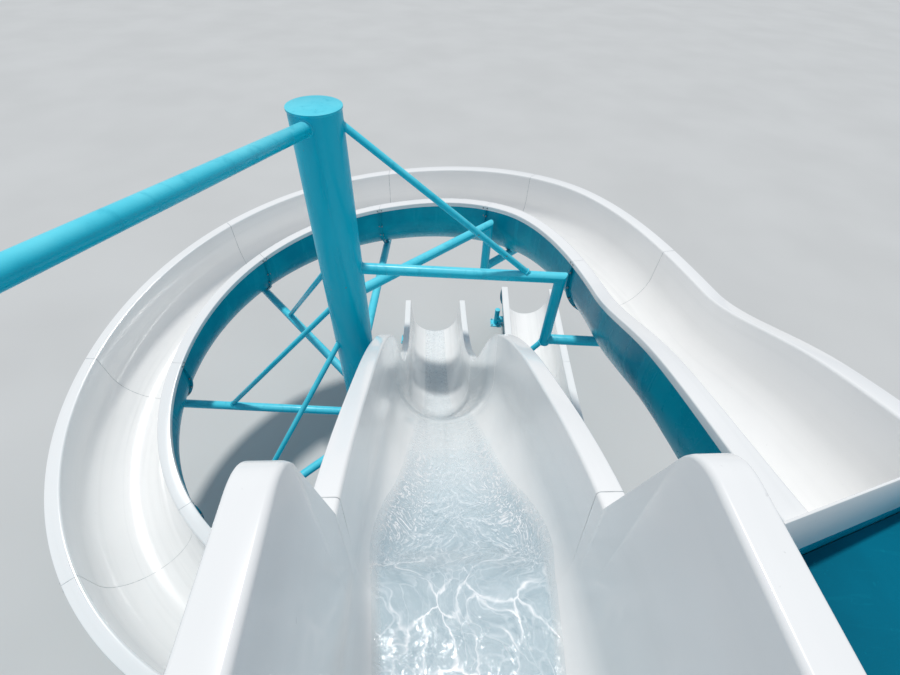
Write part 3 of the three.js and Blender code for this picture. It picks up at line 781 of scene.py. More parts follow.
def plate(outline: Sequence[Vector], depth: Vector, edge: float = 0.002) -> Mesh:
    """Flat plate of any outline with softened edges.

    Args:
        outline: Its corners, in order.
        depth: The way and distance of its thickness.
        edge: Size of the softened edges.

    Returns:
        The plate.
    """
    mesh = bmesh.new()
    face = mesh.faces.new([mesh.verts.new(corner) for corner in outline])
    made = bmesh.ops.extrude_face_region(mesh, geom=[face])
    moved = [item for item in made["geom"] if isinstance(item, bmesh.types.BMVert)]
    bmesh.ops.translate(mesh, vec=depth, verts=moved)
    bmesh.ops.recalc_face_normals(mesh, faces=mesh.faces)
    if edge:
        soften(mesh, [item for item in mesh.edges if item.calc_face_angle(0.0) > SHARP_ANGLE], edge)
    return mesh


def hex_bolt(reach: float, width: float = 0.012, head: float = 0.008) -> Mesh:
    """Hexagon head with a washer under it, standing on the origin along +Z.

    Args:
        reach: How far the thread stands out above the head, or 0 for none.
        width: Half the head's width over its corners.
        head: Height of the head.

    Returns:
        The bolt.
    """
    mesh = bmesh.new()
    washer = 0.002
    stack(mesh, 0.0, 14, (width * 1.25, width * 1.25), washer)
    stack(mesh, washer, 6, (width, width * 0.94), head)
    if reach:
        stack(mesh, washer + head, 10, (width * 0.5, width * 0.45), reach)
    return mesh


def bead(start: Vector, along: Vector, radius: float, size: float = 0.006, host: float = 0.0) -> Mesh:
    """Weld bead around a pipe, where it meets a flat face or an upright round column on the z axis.

    Args:
        start: Point on the pipe's axis near the weld.
        along: The way the pipe leaves the weld.
        radius: Radius of the pipe.
        size: Radius of the bead.
        host: Radius of the column that it is welded to, or 0 for a flat face.

    Returns:
        The bead.
    """
    axis = along.normalized()
    mesh = bmesh.new()
    ring = bmesh.ops.create_circle(mesh, segments=8, radius=size)["verts"]
    bmesh.ops.rotate(mesh, cent=(0, 0, 0), matrix=Matrix.Rotation(QUARTER, 3, "X"), verts=ring)
    bmesh.ops.translate(mesh, vec=(radius, 0, 0), verts=ring)
    whole = list(mesh.verts) + list(mesh.edges)
    bmesh.ops.spin(mesh, geom=whole, cent=(0, 0, 0), axis=UP, angle=4 * QUARTER, steps=36, use_merge=True)
    bmesh.ops.remove_doubles(mesh, verts=mesh.verts, dist=1e-5)
    bmesh.ops.transform(mesh, matrix=facing_matrix(start, axis), verts=mesh.verts)
    if host:
        flat = Vector((axis.x, axis.y, 0.0))
        for vertex in mesh.verts:
            offset = vertex.co - start
            rim = start + offset - axis * offset.dot(axis)
            a = flat.length_squared
            b = rim.x * axis.x + rim.y * axis.y
            c = rim.x * rim.x + rim.y * rim.y - host * host
            inside = max(b * b - a * c, 0.0)
            vertex.co += axis * ((-b + math.sqrt(inside)) / a)
    return mesh


# Slides


@dataclass(frozen=True)
class HeightLine:
    """Smooth rim height through stations along a slide.

    Attributes:
        stations: Distances and heights, in order.
    """

    stations: tuple[Point, ...]

    def at(self, distance: float) -> float:
        """Rim height at a distance.

        Args:
            distance: Distance along the slide.

        Returns:
            The height.
        """
        last = len(self.stations) - 1
        place = 1
        while place < last and self.stations[place][0] <= distance:
            place += 1
        start, low = self.stations[place - 1]
        end, high = self.stations[place]
        before, first = self.stations[place - 2] if place > 1 else (end, high)
        after, final = self.stations[place + 1] if place < last else (start, low)
        share = (distance - start) / (end - start)
        square, cube = share**2, share**3
        leave = (high - low) / 2 + (low - first) * (end - start) / (start - before) / 2
        arrive = (high - low) / 2 + (final - high) * (end - start) / (after - end) / 2
        ends = low + (high - low) * (3 * square - 2 * cube)
        return ends + leave * (cube - 2 * square + share) + arrive * (cube - square)


@dataclass(frozen=True)
class Station:
    """Place and directions at one distance along a slide.

    Attributes:
        origin: Middle of the rims.
        across: To the left of the way down.
        up: Away from the channel's bottom.
        along: The way down.
    """

    origin: Vector
    across: Vector
    up: Vector
    along: Vector

    @property
    def forward(self) -> Vector:
        """The way down, kept level."""
        return Vector((self.along.x, self.along.y, 0.0)).normalized()

    def point(self, across: float, rise: float) -> Vector:
        """Point of the section; what rises above the rims stands upright.

        Args:
            across: Distance to the left.
            rise: Distance above the rims.

        Returns:
            The point.
        """
        return self.origin + self.across * across + (self.up if rise <= 0 else UP) * rise


@dataclass
class SlideLine:
    """Line that a slide follows.

    Attributes:
        joints: Distances of the joints between its modules.
        square: Whether sections stand square to the slope instead of upright.
    """

    heights: HeightLine
    joints: list[float]
    square: bool
    probe: float = 0.005

    def plan(self, distance: float) -> tuple[float, float, float]:
        """Place in plan and heading at a distance."""
        raise NotImplementedError

    def station(self, distance: float) -> Station:
        """Place and directions at a distance.

        Args:
            distance: Distance along the slide.

        Returns:
            The station.
        """
        x, y, heading = self.plan(distance)
        rise = self.heights.at(distance + self.probe) - self.heights.at(distance - self.probe)
        slope = rise / (2 * self.probe) if self.square else 0.0
        forward = Vector((math.cos(heading), math.sin(heading), 0.0))
        across = UP.cross(forward)
        along = (forward + UP * slope).normalized()
        return Station(Vector((x, y, self.heights.at(distance))), across, along.cross(across), along)


@dataclass
class CurvedLine(SlideLine):
    """Plan of the curved slide: a straight start, a quarter turn, three tighter quarters, a straight exit.

    Attributes:
        turn_y: Where the first quarter turn begins, in y.
        first_radius: Radius of the first quarter turn, and the start's place in x.
    """

    start_y: float = -2.3
    turn_y: float = -0.165
    first_radius: float = 2.38
    exit_length: float = 3.46

    @property
    def coil_radius(self) -> float:
        """Radius of the last three quarters."""
        return self.first_radius + self.turn_y

    @property
    def run(self) -> float:
        """Length of the straight start."""
        return self.turn_y - self.start_y

    @property
    def coil_start(self) -> float:
        """Distance where the tighter turn begins."""
        return self.run + self.first_radius * QUARTER

    @property
    def exit_start(self) -> float:
        """Distance where the straight exit begins."""
        return self.coil_start + self.coil_radius * 3 * QUARTER

    def turned(self, degrees: float) -> float:
        """Distance where the slide has turned by an angle.

        Args:
            degrees: The angle.

        Returns:
            The distance.
        """
        angle = math.radians(degrees)
        if angle <= QUARTER:
            return self.run + angle * self.first_radius
        return self.coil_start + (angle - QUARTER) * self.coil_radius

    def plan(self, distance: float) -> tuple[float, float, float]:
        """Place in plan and heading at a distance.

        Args:
            distance: Distance along the slide.

        Returns:
            The place in x and y, and the heading.
        """
        if distance < self.run:
            return self.first_radius, self.start_y + distance, QUARTER
        if distance < self.coil_start:
            angle = (distance - self.run) / self.first_radius
            x, y = self.first_radius * math.cos(angle), self.first_radius * math.sin(angle)
            return x, y + self.turn_y, QUARTER + angle
        if distance < self.exit_start:
            angle = QUARTER + (distance - self.coil_start) / self.coil_radius
            return self.coil_radius * math.cos(angle), self.coil_radius * math.sin(angle), QUARTER + angle
        return self.coil_radius, distance - self.exit_start, QUARTER


@dataclass
class StraightLine(SlideLine):
    """Plan of the straight slide, which heads a little to the left of +Y."""

    heading: float = math.radians(94.1)
    start_x: float = 1.064
    start_y: float = -3.7

    def at(self, y: float) -> float:
        """Distance along the slide at a y value."""
        return (y - self.start_y) / math.sin(self.heading)

    def plan(self, distance: float) -> tuple[float, float, float]:
        """Place in plan and heading at a distance."""
        x = self.start_x + distance * math.cos(self.heading)
        return x, self.start_y + distance * math.sin(self.heading), self.heading


def curved_line() -> CurvedLine:
    """The curved slide's line with its heights and joints.

    Returns:
        The line.
    """
    line = CurvedLine(HeightLine(((0.0, 0.0), (1.0, 0.0))), [], False)
    end = line.exit_start + line.exit_length
    turns = (3.785, 3.612, 3.235, 2.862, 2.472, 2.16, 1.72, 1.33, 1.0)
    line.heights = HeightLine(
        (
            (-0.4, 4.755),
            (0.0, 4.6),
            (line.run / 2, 4.247),
            *((line.turned(45 * number), height) for number, height in enumerate(turns)),
            (line.exit_start + line.exit_length * 0.4, 0.85),
            (end, 0.8),
            (end + 0.4, 0.8),
        )
    )
    joints = [line.turned(angle) for angle in (14, 52.5, 90, 135, 180, 225, 270, 315, 360)]
    line.joints = [0.0, *joints, line.exit_start + line.exit_length / 2, end]
    return line


def straight_line() -> StraightLine:
    """The straight slide's line with its heights and joints.

    Returns:
        The line.
    """
    line = StraightLine(HeightLine(((0.0, 0.0), (1.0, 0.0))), [], True)
    rest_y, rest_height, fall = -3.01, 4.6647, 0.1
    heights = (
        (line.start_y - 0.4, rest_height + fall * (rest_y - line.start_y + 0.4)),
        (line.start_y, rest_height + fall * (rest_y - line.start_y)),
        (rest_y, rest_height), (-2.5, 4.612), (-2.1, 4.515), (-1.41, 4.18), (-0.87, 3.85), (-0.4, 3.46),
        (-0.1, 3.12), (0.2, 2.65), (0.5, 2.16), (0.8, 1.79), (1.11, 1.52),
        (1.6, 1.15), (2.2, 0.93), (2.95, 0.85), (3.35, 0.84),
    )
    line.heights = HeightLine(tuple((line.at(y), height) for y, height in heights))
    line.joints = [line.at(y) for y in (line.start_y, -2.15, -0.35, 0.95, 1.95, 2.95)]
    return line


@dataclass(frozen=True)
class Corner:
    """One corner of a section.

    Attributes:
        across: Distance to the left of the middle.
        rise: Distance above the rims.
        around: Distance around the section from the channel's bottom.
        back: Whether it is on the outer skin.
        raised: Whether it goes up with a wall above the rims.
    """

    across: float
    rise: float
    around: float = 0.0
    back: bool = False
    raised: bool = False


@dataclass(frozen=True)
class FlumeSection:
    """Section of a flume: a channel between two flat rims, inside an outer skin.

    Attributes:
        half: Half the width over the rims.
        depth: Depth of the lowest line of the outer skin below the rims.
        draft: How far the channel's walls lean out at their tops.
        roll: Radius of the rims' inner edges.
        edge: Radius of the rims' outer edges.
        inset: Space between a rim and the channel's side.
        lip: Depth of the rims' turned-down lips.
        overhang: How far the lips stand out from the outer skin.
        floor: Thickness of the channel's floor.
        steps: Faces around the channel.
    """

    half: float
    depth: float
    draft: float
    roll: float = 0.016
    edge: float = 0.009
    rim: float = 0.1
    inset: float = 0.015
    lip: float = 0.045
    overhang: float = 0.02
    floor: float = 0.02
    steps: int = 32

    @property
    def radius(self) -> float:
        """Half the width of the channel."""
        return self.half - self.rim - self.inset

    @property
    def bottom(self) -> float:
        """Height of the channel's bottom above the rims."""
        return self.floor - self.depth

    @property
    def centre(self) -> float:
        """Height of the channel's centre above the rims."""
        return self.bottom + self.radius

    @property
    def skin(self) -> float:
        """Radius of the outer skin."""
        return self.half - self.overhang

    @property
    def skin_centre(self) -> float:
        """Height of the outer skin's centre above the rims."""
        return self.skin - self.depth

    def shoulder(self) -> list[tuple[Point, bool]]:
        """Corners of the right rim from the lip's foot to the top of the channel's wall.

        Returns:
            The corners, and whether each goes up with a wall above the rims.
        """
        outer = self.half - self.edge
        inner = self.radius + self.draft + self.roll
        turn = QUARTER - math.atan2(self.draft, -self.centre)
        corners = [((self.half, -self.lip), False)]
        for step in range(5):
            angle = QUARTER * step / 4
            corner = (outer + self.edge * math.cos(angle), -self.edge + self.edge * math.sin(angle))
            corners.append((corner, True))
        for step in range(8):
            angle = QUARTER + turn * step / 7
            corner = (inner + self.roll * math.cos(angle), -self.roll + self.roll * math.sin(angle))
            corners.append((corner, True))
        return corners

    def ride(self) -> list[Corner]:
        """Corners of the upper side from the right lip's foot to the left one's.

        Returns:
            The corners.
        """
        right = self.shoulder()
        arc = []
        for step in range(self.steps + 1):
            angle = math.pi * step / self.steps
            arc.append(((self.radius * math.cos(angle), self.centre - self.radius * math.sin(angle)), False))
        left = [((-point[0], point[1]), raised) for point, raised in reversed(right)]
        chain = right + arc + left
        lengths = [0.0]
        for (one, _), (other, _) in zip(chain, chain[1:]):
            lengths.append(lengths[-1] + math.dist(one, other))
        middle = lengths[-1] / 2
        return [
            Corner(-point[0], point[1], middle - length, False, raised)
            for (point, raised), length in zip(chain, lengths)
        ]

    def offset(self, distance: float) -> list[Corner]:
        """The upper side's corners moved outwards and down.

        Args:
            distance: How far.

        Returns:
            The corners.
        """
        chain = self.ride()
        moved = []
        for index, corner in enumerate(chain):
            before = chain[max(index - 1, 0)]
            after = chain[min(index + 1, len(chain) - 1)]
            one = Vector((corner.across - before.across, corner.rise - before.rise))
            other = Vector((after.across - corner.across, after.rise - corner.rise))
            one = (one if one.length else other).normalized()
            other = (other if other.length else one).normalized()
            bisector = (one + other).normalized()
            reach = distance / max(bisector.dot(one), 0.3)
            across = corner.across + bisector.y * reach
            moved.append(Corner(across, corner.rise - bisector.x * reach, corner.around, True, corner.raised))
        return moved

    def wrap(self, reach: float) -> list[Corner]:
        """Line around the outer skin, from the right lip to the left one.

        Args:
            reach: How far it stands out from the skin.

        Returns:
            Its corners.
        """
        radius = self.skin + reach
        under_lip = self.skin + min(reach, self.overhang - 0.002)
        middle = (self.skin_centre - self.lip) / 2
        ends = ((under_lip, -self.lip), (radius, middle))
        line = [Corner(-across, rise, 0.0, True) for across, rise in ends]
        for step in range(self.steps + 1):
            angle = math.pi * step / self.steps
            rise = self.skin_centre - radius * math.sin(angle)
            line.append(Corner(-radius * math.cos(angle), rise, 0.0, True))
        return line + [Corner(across, rise, 0.0, True) for across, rise in reversed(ends)]

    def shell(self) -> list[Corner]:
        """Closed outline of the flume's wall."""
        return self.ride() + self.wrap(0.0)[::-1]

    def band(self, near: float, far: float, inner: float, outer: float) -> list[list[Corner]]:
        """Closed outlines of a band around the outer skin.

        Args:
            near: How far its inner side stands out from the skin.
            far: How far its outer side does.
            inner: Half the width that is left open in the middle, or 0 for none.
            outer: Half the width that it reaches.

        Returns:
            One outline, or two with the gap between them.
        """
        low = self.wrap(near)
        high = self.wrap(far)
        outlines = []
        for way in (1, -1) if inner else (0,):
            kept = [
                index
                for index, corner in enumerate(low)
                if abs(corner.across) < outer and (not way or corner.across * way > inner)
            ]
            outlines.append([low[index] for index in kept] + [high[index] for index in reversed(kept)])
        return outlines

    def underside(self, across: float) -> float:
        """Height of the outer skin above the rims at a distance across."""
        return self.skin_centre - math.sqrt(self.skin**2 - across**2)


def sweep(
    line: SlideLine,
    outline: Sequence[Corner],
    distances: Sequence[float],
    wall: Optional[Callable[[float], float]] = None,
    closed: bool = True,
) -> Mesh:
    """Sweeps a section along a slide.

    Args:
        line: The slide's line.
        outline: The section's corners, in order.
        distances: Where the sections stand.
        wall: Height of the raised corners above the rims at a distance.
        closed: Whether the outline is closed and the ends are filled.

    Returns:
        The mesh. Faces on the underside have finish 1.
    """
    mesh = bmesh.new()
    names = ("across", "rise", "around", "back", "raised")
    layers = {name: mesh.verts.layers.float.new(name) for name in names}
    along = mesh.verts.layers.float.new("along")
    verts = []
    for corner in outline:
        vertex = mesh.verts.new((0.0, 0.0, 0.0))
        for name, layer in layers.items():
            vertex[layer] = float(getattr(corner, name))
        verts.append(vertex)
    pairs = list(zip(verts, verts[1:]))
    if closed:
        pairs.append((verts[-1], verts[0]))
    ring = [mesh.edges.new(pair) for pair in pairs]
    first = list(ring)

    def settle(edges: Iterable[Edge], distance: float) -> None:
        """Puts the section's corners in place.

        Args:
            edges: The section's edges.
            distance: Where it stands.
        """
        station = line.station(distance)
        lift = wall(distance) if wall else 0.0
        for vertex in {vertex for edge in edges for vertex in edge.verts}:
            rise = vertex[layers["rise"]] + lift * vertex[layers["raised"]]
            vertex.co = station.point(vertex[layers["across"]], rise)
            vertex[along] = distance

    settle(ring, distances[0])
    for distance in distances[1:]:
        ring = edges_of(bmesh.ops.extrude_edge_only(mesh, edges=ring)["geom"])
        settle(ring, distance)
    if closed:
        bmesh.ops.contextual_create(mesh, geom=first)
        bmesh.ops.contextual_create(mesh, geom=ring)
    chart = mesh.loops.layers.uv.new("flow")
    for face in mesh.faces:
        face.material_index = int(all(vertex[layers["back"]] > 0.5 for vertex in face.verts))
        for loop in face.loops:
            loop[chart].uv = (loop.vert[along], loop.vert[layers["around"]])
    for layer in (*layers.values(), along):
        mesh.verts.layers.float.remove(layer)
    return mesh


def paces(start: float, end: float, step: float) -> list[float]:
    """Even distances from one place to another, about a step apart."""
    count = max(1, round((end - start) / step))
    return [start + (end - start) * index / count for index in range(count + 1)]


@dataclass
class Flume:
    """One slide made of bolted modules.

    Attributes:
        names: Names of its modules, from the top.
        step: Distance between sections.
        flange_height: How far the flanges stand out.
        bolt_pitch: Distance between bolts around a flange.
        saddles: Numbers of the joints that rest in a saddle.
        saddle_half: Half the width of a saddle.
    """

    line: SlideLine
    section: FlumeSection
    names: list[str]
    joint_gap: float = 0.004
    step: float = 0.06
    flange_height: float = 0.026
    flange_plate: float = 0.009
    bolt_pitch: float = 0.13
    saddles: tuple[int, ...] = ()
    saddle_half: float = 0.222

    def underside_height(self, distance: float, across: float) -> float:
        """Height of the outer skin straight below or above a place in plan.

        Args:
            distance: Distance of the place along the slide.
            across: Its distance to the left.

        Returns:
            The height.
        """
        rise = self.section.underside(across)
        low, high = distance, distance - rise * float(self.line.square)
        start = self.line.station(distance)
        point = start.point(across, rise)
        for _ in range(24 if self.line.square else 0):
            middle = (low + high) / 2
            point = self.line.station(middle).point(across, rise)
            if (point - start.origin).dot(start.forward) < 0.0:
                low = middle
            else:
                high = middle
        return point.z

    def seat(self, distance: float) -> Vector:
        """Lowest point of the outer skin below the middle of the rims."""
        station = self.line.station(distance)
        return station.origin - UP * (self.section.depth / math.hypot(station.along.x, station.along.y))

    def module(self, index: int) -> None:
        """Makes one module's wall.

        Args:
            index: Number of the module, from the top.
        """
        start = self.line.joints[index] + self.joint_gap / 2
        end = self.line.joints[index + 1] - self.joint_gap / 2
        piece = Piece(self.names[index], "shell", [RIDE, BACK], Slot.GELCOAT, mapped=True)
        piece.add(sweep(self.line, self.section.shell(), paces(start, end, self.step)), -1)
        piece.done()

    def joint(self, index: int) -> None:
        """Makes the sealant, flanges and bolts of one joint.

        Args:
            index: Number of the joint, from the top.
        """
        place = self.line.joints[index]
        last = index == len(self.line.joints) - 1
        name = f"{self.names[0].rsplit('_', 1)[0]}_joint_{index}"
        piece = Piece(name, "", [SEAL, BACK, ZINC], Slot.GELCOAT, mapped=True)
        if not last:
            seal = self.section.offset(0.0015) + self.section.offset(0.012)[::-1]
            half = self.joint_gap / 2 + 0.001
            piece.add(sweep(self.line, seal, [place - half, place + half]))
        half_gap = self.saddle_half if index in self.saddles else 0.0
        for outline in self.section.band(-0.002, self.flange_height, half_gap, 1.0):
            for way in (-1,) if last else (-1, 1):
                near = place + way * 0.001
                far = place + way * (self.flange_plate + 0.001)
                piece.add(sweep(self.line, outline, sorted((near, far))), 1)
        if not last:
            self.flange_bolts(piece, place, half_gap)
            self.lip_bolts(piece, place)
        piece.done()

    def flange_bolts(self, piece: Piece, place: float, half_gap: float) -> None:
        """Adds the bolts around a joint's flanges.

        Args:
            piece: The piece that takes them.
            place: Distance of the joint.
            half_gap: Half the width that has no flange.
        """
        station = self.line.station(place)
        circle = self.section.wrap(self.flange_height * 0.55)
        travelled = 0.0
        reach = self.flange_plate + 0.001
        for one, other in zip(circle, circle[1:]):
            travelled += math.dist((one.across, one.rise), (other.across, other.rise))
            if travelled < self.bolt_pitch or abs(other.across) < half_gap + 0.03:
                continue
            travelled = 0.0
            for way in (-1, 1):
                spot = station.point(other.across, other.rise) + station.along * (way * reach)
                thread = 0.008 if way > 0 else 0.0
                piece.add(hex_bolt(thread, 0.009, 0.006), 2, facing_matrix(spot, station.along * way))

    def lip_bolts(self, piece: Piece, place: float) -> None:
        """Adds the small bolts through the rims' lips beside a joint.

        Args:
            piece: The piece that takes them.
            place: Distance of the joint.
        """
        for side in (-1, 1):
            for ahead in (-0.028, 0.028):
                station = self.line.station(place + ahead)
                spot = station.point(side * self.section.half, -self.section.lip * 0.55)
                piece.add(hex_bolt(0.0, 0.007, 0.004), 2, facing_matrix(spot, station.across * side))

    def start(self) -> None:
        """Makes the first module."""
        raise NotImplementedError

    def build(self) -> None:
        """Makes the whole slide."""
        self.start()
        for index in range(1, len(self.names)):
            self.module(index)
        for index in range(1, len(self.line.joints)):
            self.joint(index)


@dataclass
class CurvedFlume(Flume):
    """The curved slide with its rear lip across the channel.

    Attributes:
        lip_turn: How far the rear lip is turned in plan.
        lip_corner: Left end of the rear lip's foot.
        lip_depth: Distance from the rear wall's foot line to the lip's upper edge.
        lip_lean: How far the lip's face leans.
        lip_width: Width of its top.
        lip_drop: Height of its face.
        skirt_foot: Height of the foot of the wall below the lip.
    """

    lip_turn: float = math.radians(21)
    lip_corner: Point = (1.905, -2.278)
    lip_depth: float = 0.06
    lip_lean: float = 0.056
    lip_width: float = 0.008
    lip_drop: float = 0.155
    skirt_foot: float = 4.15

    def lip_plane(self, ahead: float) -> tuple[Vector, Vector]:
        """A plane in line with the rear lip.

        Args:
            ahead: How far ahead of its foot line it stands.

        Returns:
            A point on it, and its direction, which is ahead.
        """
        forward = Vector((-math.sin(self.lip_turn), math.cos(self.lip_turn), 0.0))
        return Vector((*self.lip_corner, 0.0)) + forward * ahead, forward

    def cut(self, mesh: Mesh, ahead: float, keep_ahead: bool) -> None:
        """Cuts a mesh along the rear lip and closes the cut.

        Args:
            mesh: The mesh.
            ahead: How far ahead of the lip's foot line to cut.
            keep_ahead: Whether the part ahead of the cut is kept.
        """
        point, forward = self.lip_plane(ahead)
        whole = list(mesh.verts) + list(mesh.edges) + list(mesh.faces)
        clear = {"clear_inner": keep_ahead, "clear_outer": not keep_ahead}
        made = bmesh.ops.bisect_plane(mesh, geom=whole, plane_co=point, plane_no=forward, **clear)
        bmesh.ops.contextual_create(mesh, geom=edges_of(made["geom_cut"]))

    def start(self) -> None:
        """Makes the first module with its rear wall and lip."""
        end = self.line.joints[1] - self.joint_gap / 2
        piece = Piece(self.names[0], "shell", [RIDE, BACK], Slot.GELCOAT, mapped=True)
        shell = sweep(self.line, self.section.shell(), paces(0.0, end, self.step))
        self.cut(shell, self.lip_depth + 0.003, True)
        piece.add(shell, -1)
        layers = (self.lip_depth + 0.001, self.lip_depth + 0.009, self.lip_depth + 0.015)
        for finish, (near, far) in enumerate(zip(layers, layers[1:])):
            wall = sweep(self.line, self.section.wrap(-0.002), paces(0.0, 0.7, 0.1))
            self.cut(wall, near, True)
            self.cut(wall, far, False)
            piece.add(wall, 1 - finish)
        forward = self.lip_plane(0.0)[1]
        piece.add(plate(self.lip_outline(), self.lip_length(), 0.002))
        piece.add(plate(self.skirt(), forward * 0.006, 0.0), 1)
        piece.done()

    def lip_end(self, right: bool) -> Vector:
        """Point of the rims' plane above the lip's foot line, at one of its ends.

        Args:
            right: Whether it is the right end.

        Returns:
            The point.
        """
        width = 2 * self.section.half if right else 0.0
        x, y = self.lip_corner[0] + width, self.lip_corner[1] + width * math.tan(self.lip_turn)
        return Vector((x, y, self.line.heights.at(y - self.line.start_y)))

    def lip_length(self) -> Vector:
        """The way and length of the rear lip, to the right and down with the rims."""
        return self.lip_end(True) - self.lip_end(False)

    def lip_outline(self) -> list[Vector]:
        """Corners of the lip's section at its left end.

        Returns:
            The corners, in order.
        """
        forward = self.lip_plane(0.0)[1]
        face, back = self.lip_depth, self.lip_depth + self.lip_width
        corners = ((face - self.lip_lean, -self.lip_drop), (face, 0.0), (back, 0.0), (back, -self.lip_drop))
        return [self.lip_end(False) + forward * ahead + UP * rise for ahead, rise in corners]

    def skirt(self) -> list[Vector]:
        """Corners of the wall between the deck's edge and the lip.

        Returns:
            The corners, in order.
        """
        forward = self.lip_plane(0.0)[1]
        ends = [self.lip_end(False), self.lip_end(True)]
        feet = [Vector((end.x, end.y, self.skirt_foot)) for end in ends]
        shift = forward * (self.lip_depth - self.lip_lean + 0.002) - UP * (self.lip_drop - 0.004)
        return feet + [end + shift for end in reversed(ends)]


@dataclass
class StraightFlume(Flume):
    """The straight slide with its start tub and its running water.

    Attributes:
        tub_section: Section of the tub, whose floor laps over the next module's.
        wall_front: Where the walls' front face meets their top, in y.
        wall_foot: Where that face meets the rims, in y.
        wall_round: Size of the rounded front corner.
        wall_lean: How far the corner's lower end is past wall_front, as a share of its size.
        depths: Depths of the water at y values.
        film: Least half widths of the water, which climbs the walls as a film, at y values.
    """

    tub_section: FlumeSection = FlumeSection(0.5, 0.715, 0.023, floor=0.04)
    wall_top: float = 5.12
    wall_front: float = -2.315
    wall_foot: float = -2.21
    wall_round: float = 0.095
    wall_lean: float = 0.1
    depths: tuple[Point, ...] = (
        (-3.8, 0.045), (-3.7, 0.055), (-3.0, 0.11), (-2.47, 0.175), (-2.26, 0.206),
        (-2.12, 0.206), (-2.01, 0.178), (-1.83, 0.096), (-1.65, 0.056), (-1.46, 0.036),
        (-1.05, 0.026), (0.6, 0.024), (1.6, 0.026), (2.5, 0.03), (3.0, 0.03),
    )
    film: tuple[Point, ...] = (
        (-3.8, 0.1), (-2.6, 0.3), (-2.11, 0.345), (-1.95, 0.362), (-1.64, 0.338),
        (-1.42, 0.297), (-1.15, 0.265), (-0.52, 0.225), (0.5, 0.2), (3.0, 0.17),
    )

    def wall_height(self, distance: float) -> float:
        """Height of the tub's walls above the rims at a distance.

        Args:
            distance: Distance along the slide.

        Returns:
            The height, 0 past their foot.
        """
        y = self.line.plan(distance)[1]
        rim = self.line.heights.at(distance)
        past = (y - self.wall_front) / self.wall_round + 1
        if past <= 0.0:
            return self.wall_top - rim
        low = self.wall_top - self.wall_round
        front = self.wall_front + self.wall_round * self.wall_lean
        if y < front:
            bend = 1 - self.wall_lean
            share = (1 - math.sqrt(1 - bend * past)) / bend
            return self.wall_top - self.wall_round * share**2 - rim
        foot = self.line.heights.at(self.line.at(self.wall_foot))
        share = (y - front) / (self.wall_foot - front)
        return max(low + (foot - low) * share - rim, 0.0) if share < 1.0 else 0.0

    def start(self) -> None:
        """Makes the tub with its tall side walls."""
        near = self.joint_gap / 2
        end = self.line.joints[1] - self.joint_gap / 2
        bend = self.line.at(self.wall_front - self.wall_round)
        foot = self.line.at(self.wall_foot + 0.01)
        distances = paces(near, bend, 0.09) + paces(bend, foot, 0.008)[1:] + paces(foot, end, 0.02)[1:]
        piece = Piece(self.names[0], "shell", [RIDE, BACK], Slot.GELCOAT, mapped=True)
        piece.add(sweep(self.line, self.tub_section.shell(), distances, self.wall_height), -1)
        piece.done()

    def water(self) -> None:
        """Makes the water that runs down the channel."""
        piece = Piece("running_water", "", [WATER], Slot.GELCOAT, mapped=True)
        depth, film = HeightLine(self.depths), HeightLine(self.film)
        count = 28
        corners = [Corner(0.0, -1.0 + 2.0 * index / count, index / count - 0.5) for index in range(count + 1)]
        distances = paces(0.02, self.line.joints[-1] - 0.01, 0.03)
        mesh = sweep(self.line, corners, distances, closed=False)
        chart = mesh.loops.layers.uv["flow"]
        for vertex in mesh.verts:
            distance, share = vertex.link_loops[0][chart].uv
            vertex.co = self.water_point(depth, film, distance, 2 * share)
        piece.add(mesh)
        piece.done()

    def water_point(self, depths: HeightLine, film: HeightLine, distance: float, share: float) -> Vector:
        """Point of the water's surface.

        Args:
            depths: Depths at y values.
            film: Least half widths at y values.
            distance: Distance along the slide.
            share: -1 at one bank and 1 at the other.

        Returns:
            The point.
        """
        y = self.line.plan(distance)[1]
        depth = depths.at(y)
        level = self.section.bottom + depth
        section = self.tub_section if distance < self.line.joints[1] else self.section
        half = max(math.sqrt(max(section.radius**2 - (section.centre - level) ** 2, 0.0)), film.at(y))
        across = share * half
        bottom = section.centre - math.sqrt(section.radius**2 - across**2)
        ripple = noise.noise(Vector((across * 14, distance * 10, 0.0))) * 0.006
        ripple += noise.noise(Vector((across * 34, distance * 24, 5.0))) * 0.0025
        ripple *= min(1.0, (1 - abs(share)) * 5) * min(1.0, depth / 0.04)
        rise = max(level + ripple, bottom + 0.001 + abs(ripple) * 0.4)
        return self.line.station(distance).point(across, rise)

    def build(self) -> None:
        """Makes the whole slide and its water."""
        super().build()
        self.water()


# Steelwork

PIPE = 0.04445
STAY = 0.02415
COLUMN = 0.162
CAP = 0.006
CAP_EDGE = 0.003
WELD = 0.007


def bent_pipe(points: Sequence[Vector], radius: float, sides: int = 28) -> Mesh:
    """Pipe through points, cut and welded on the slant at each bend.

    Args:
        points: Its axis.
        radius: Radius.
        sides: Number of sides.

    Returns:
        The pipe.
    """
    mesh = bmesh.new()
    way = (points[1] - points[0]).normalized()
    ring = bmesh.ops.create_circle(mesh, segments=sides, radius=radius)["verts"]
    bmesh.ops.transform(mesh, matrix=facing_matrix(points[0], way), verts=ring)
    edges = list(mesh.edges)
    first = list(edges)
    for index in range(1, len(points)):
        way = (points[index] - points[index - 1]).normalized()
        onward = (points[index + 1] - points[index]).normalized() if index + 1 < len(points) else way
        normal = (way + onward).normalized()
        edges = edges_of(bmesh.ops.extrude_edge_only(mesh, edges=edges)["geom"])
        for vertex in {vertex for edge in edges for vertex in edge.verts}:
            vertex.co += way * ((points[index] - vertex.co).dot(normal) / way.dot(normal))
    bmesh.ops.contextual_create(mesh, geom=first)
    bmesh.ops.contextual_create(mesh, geom=edges)
    return mesh


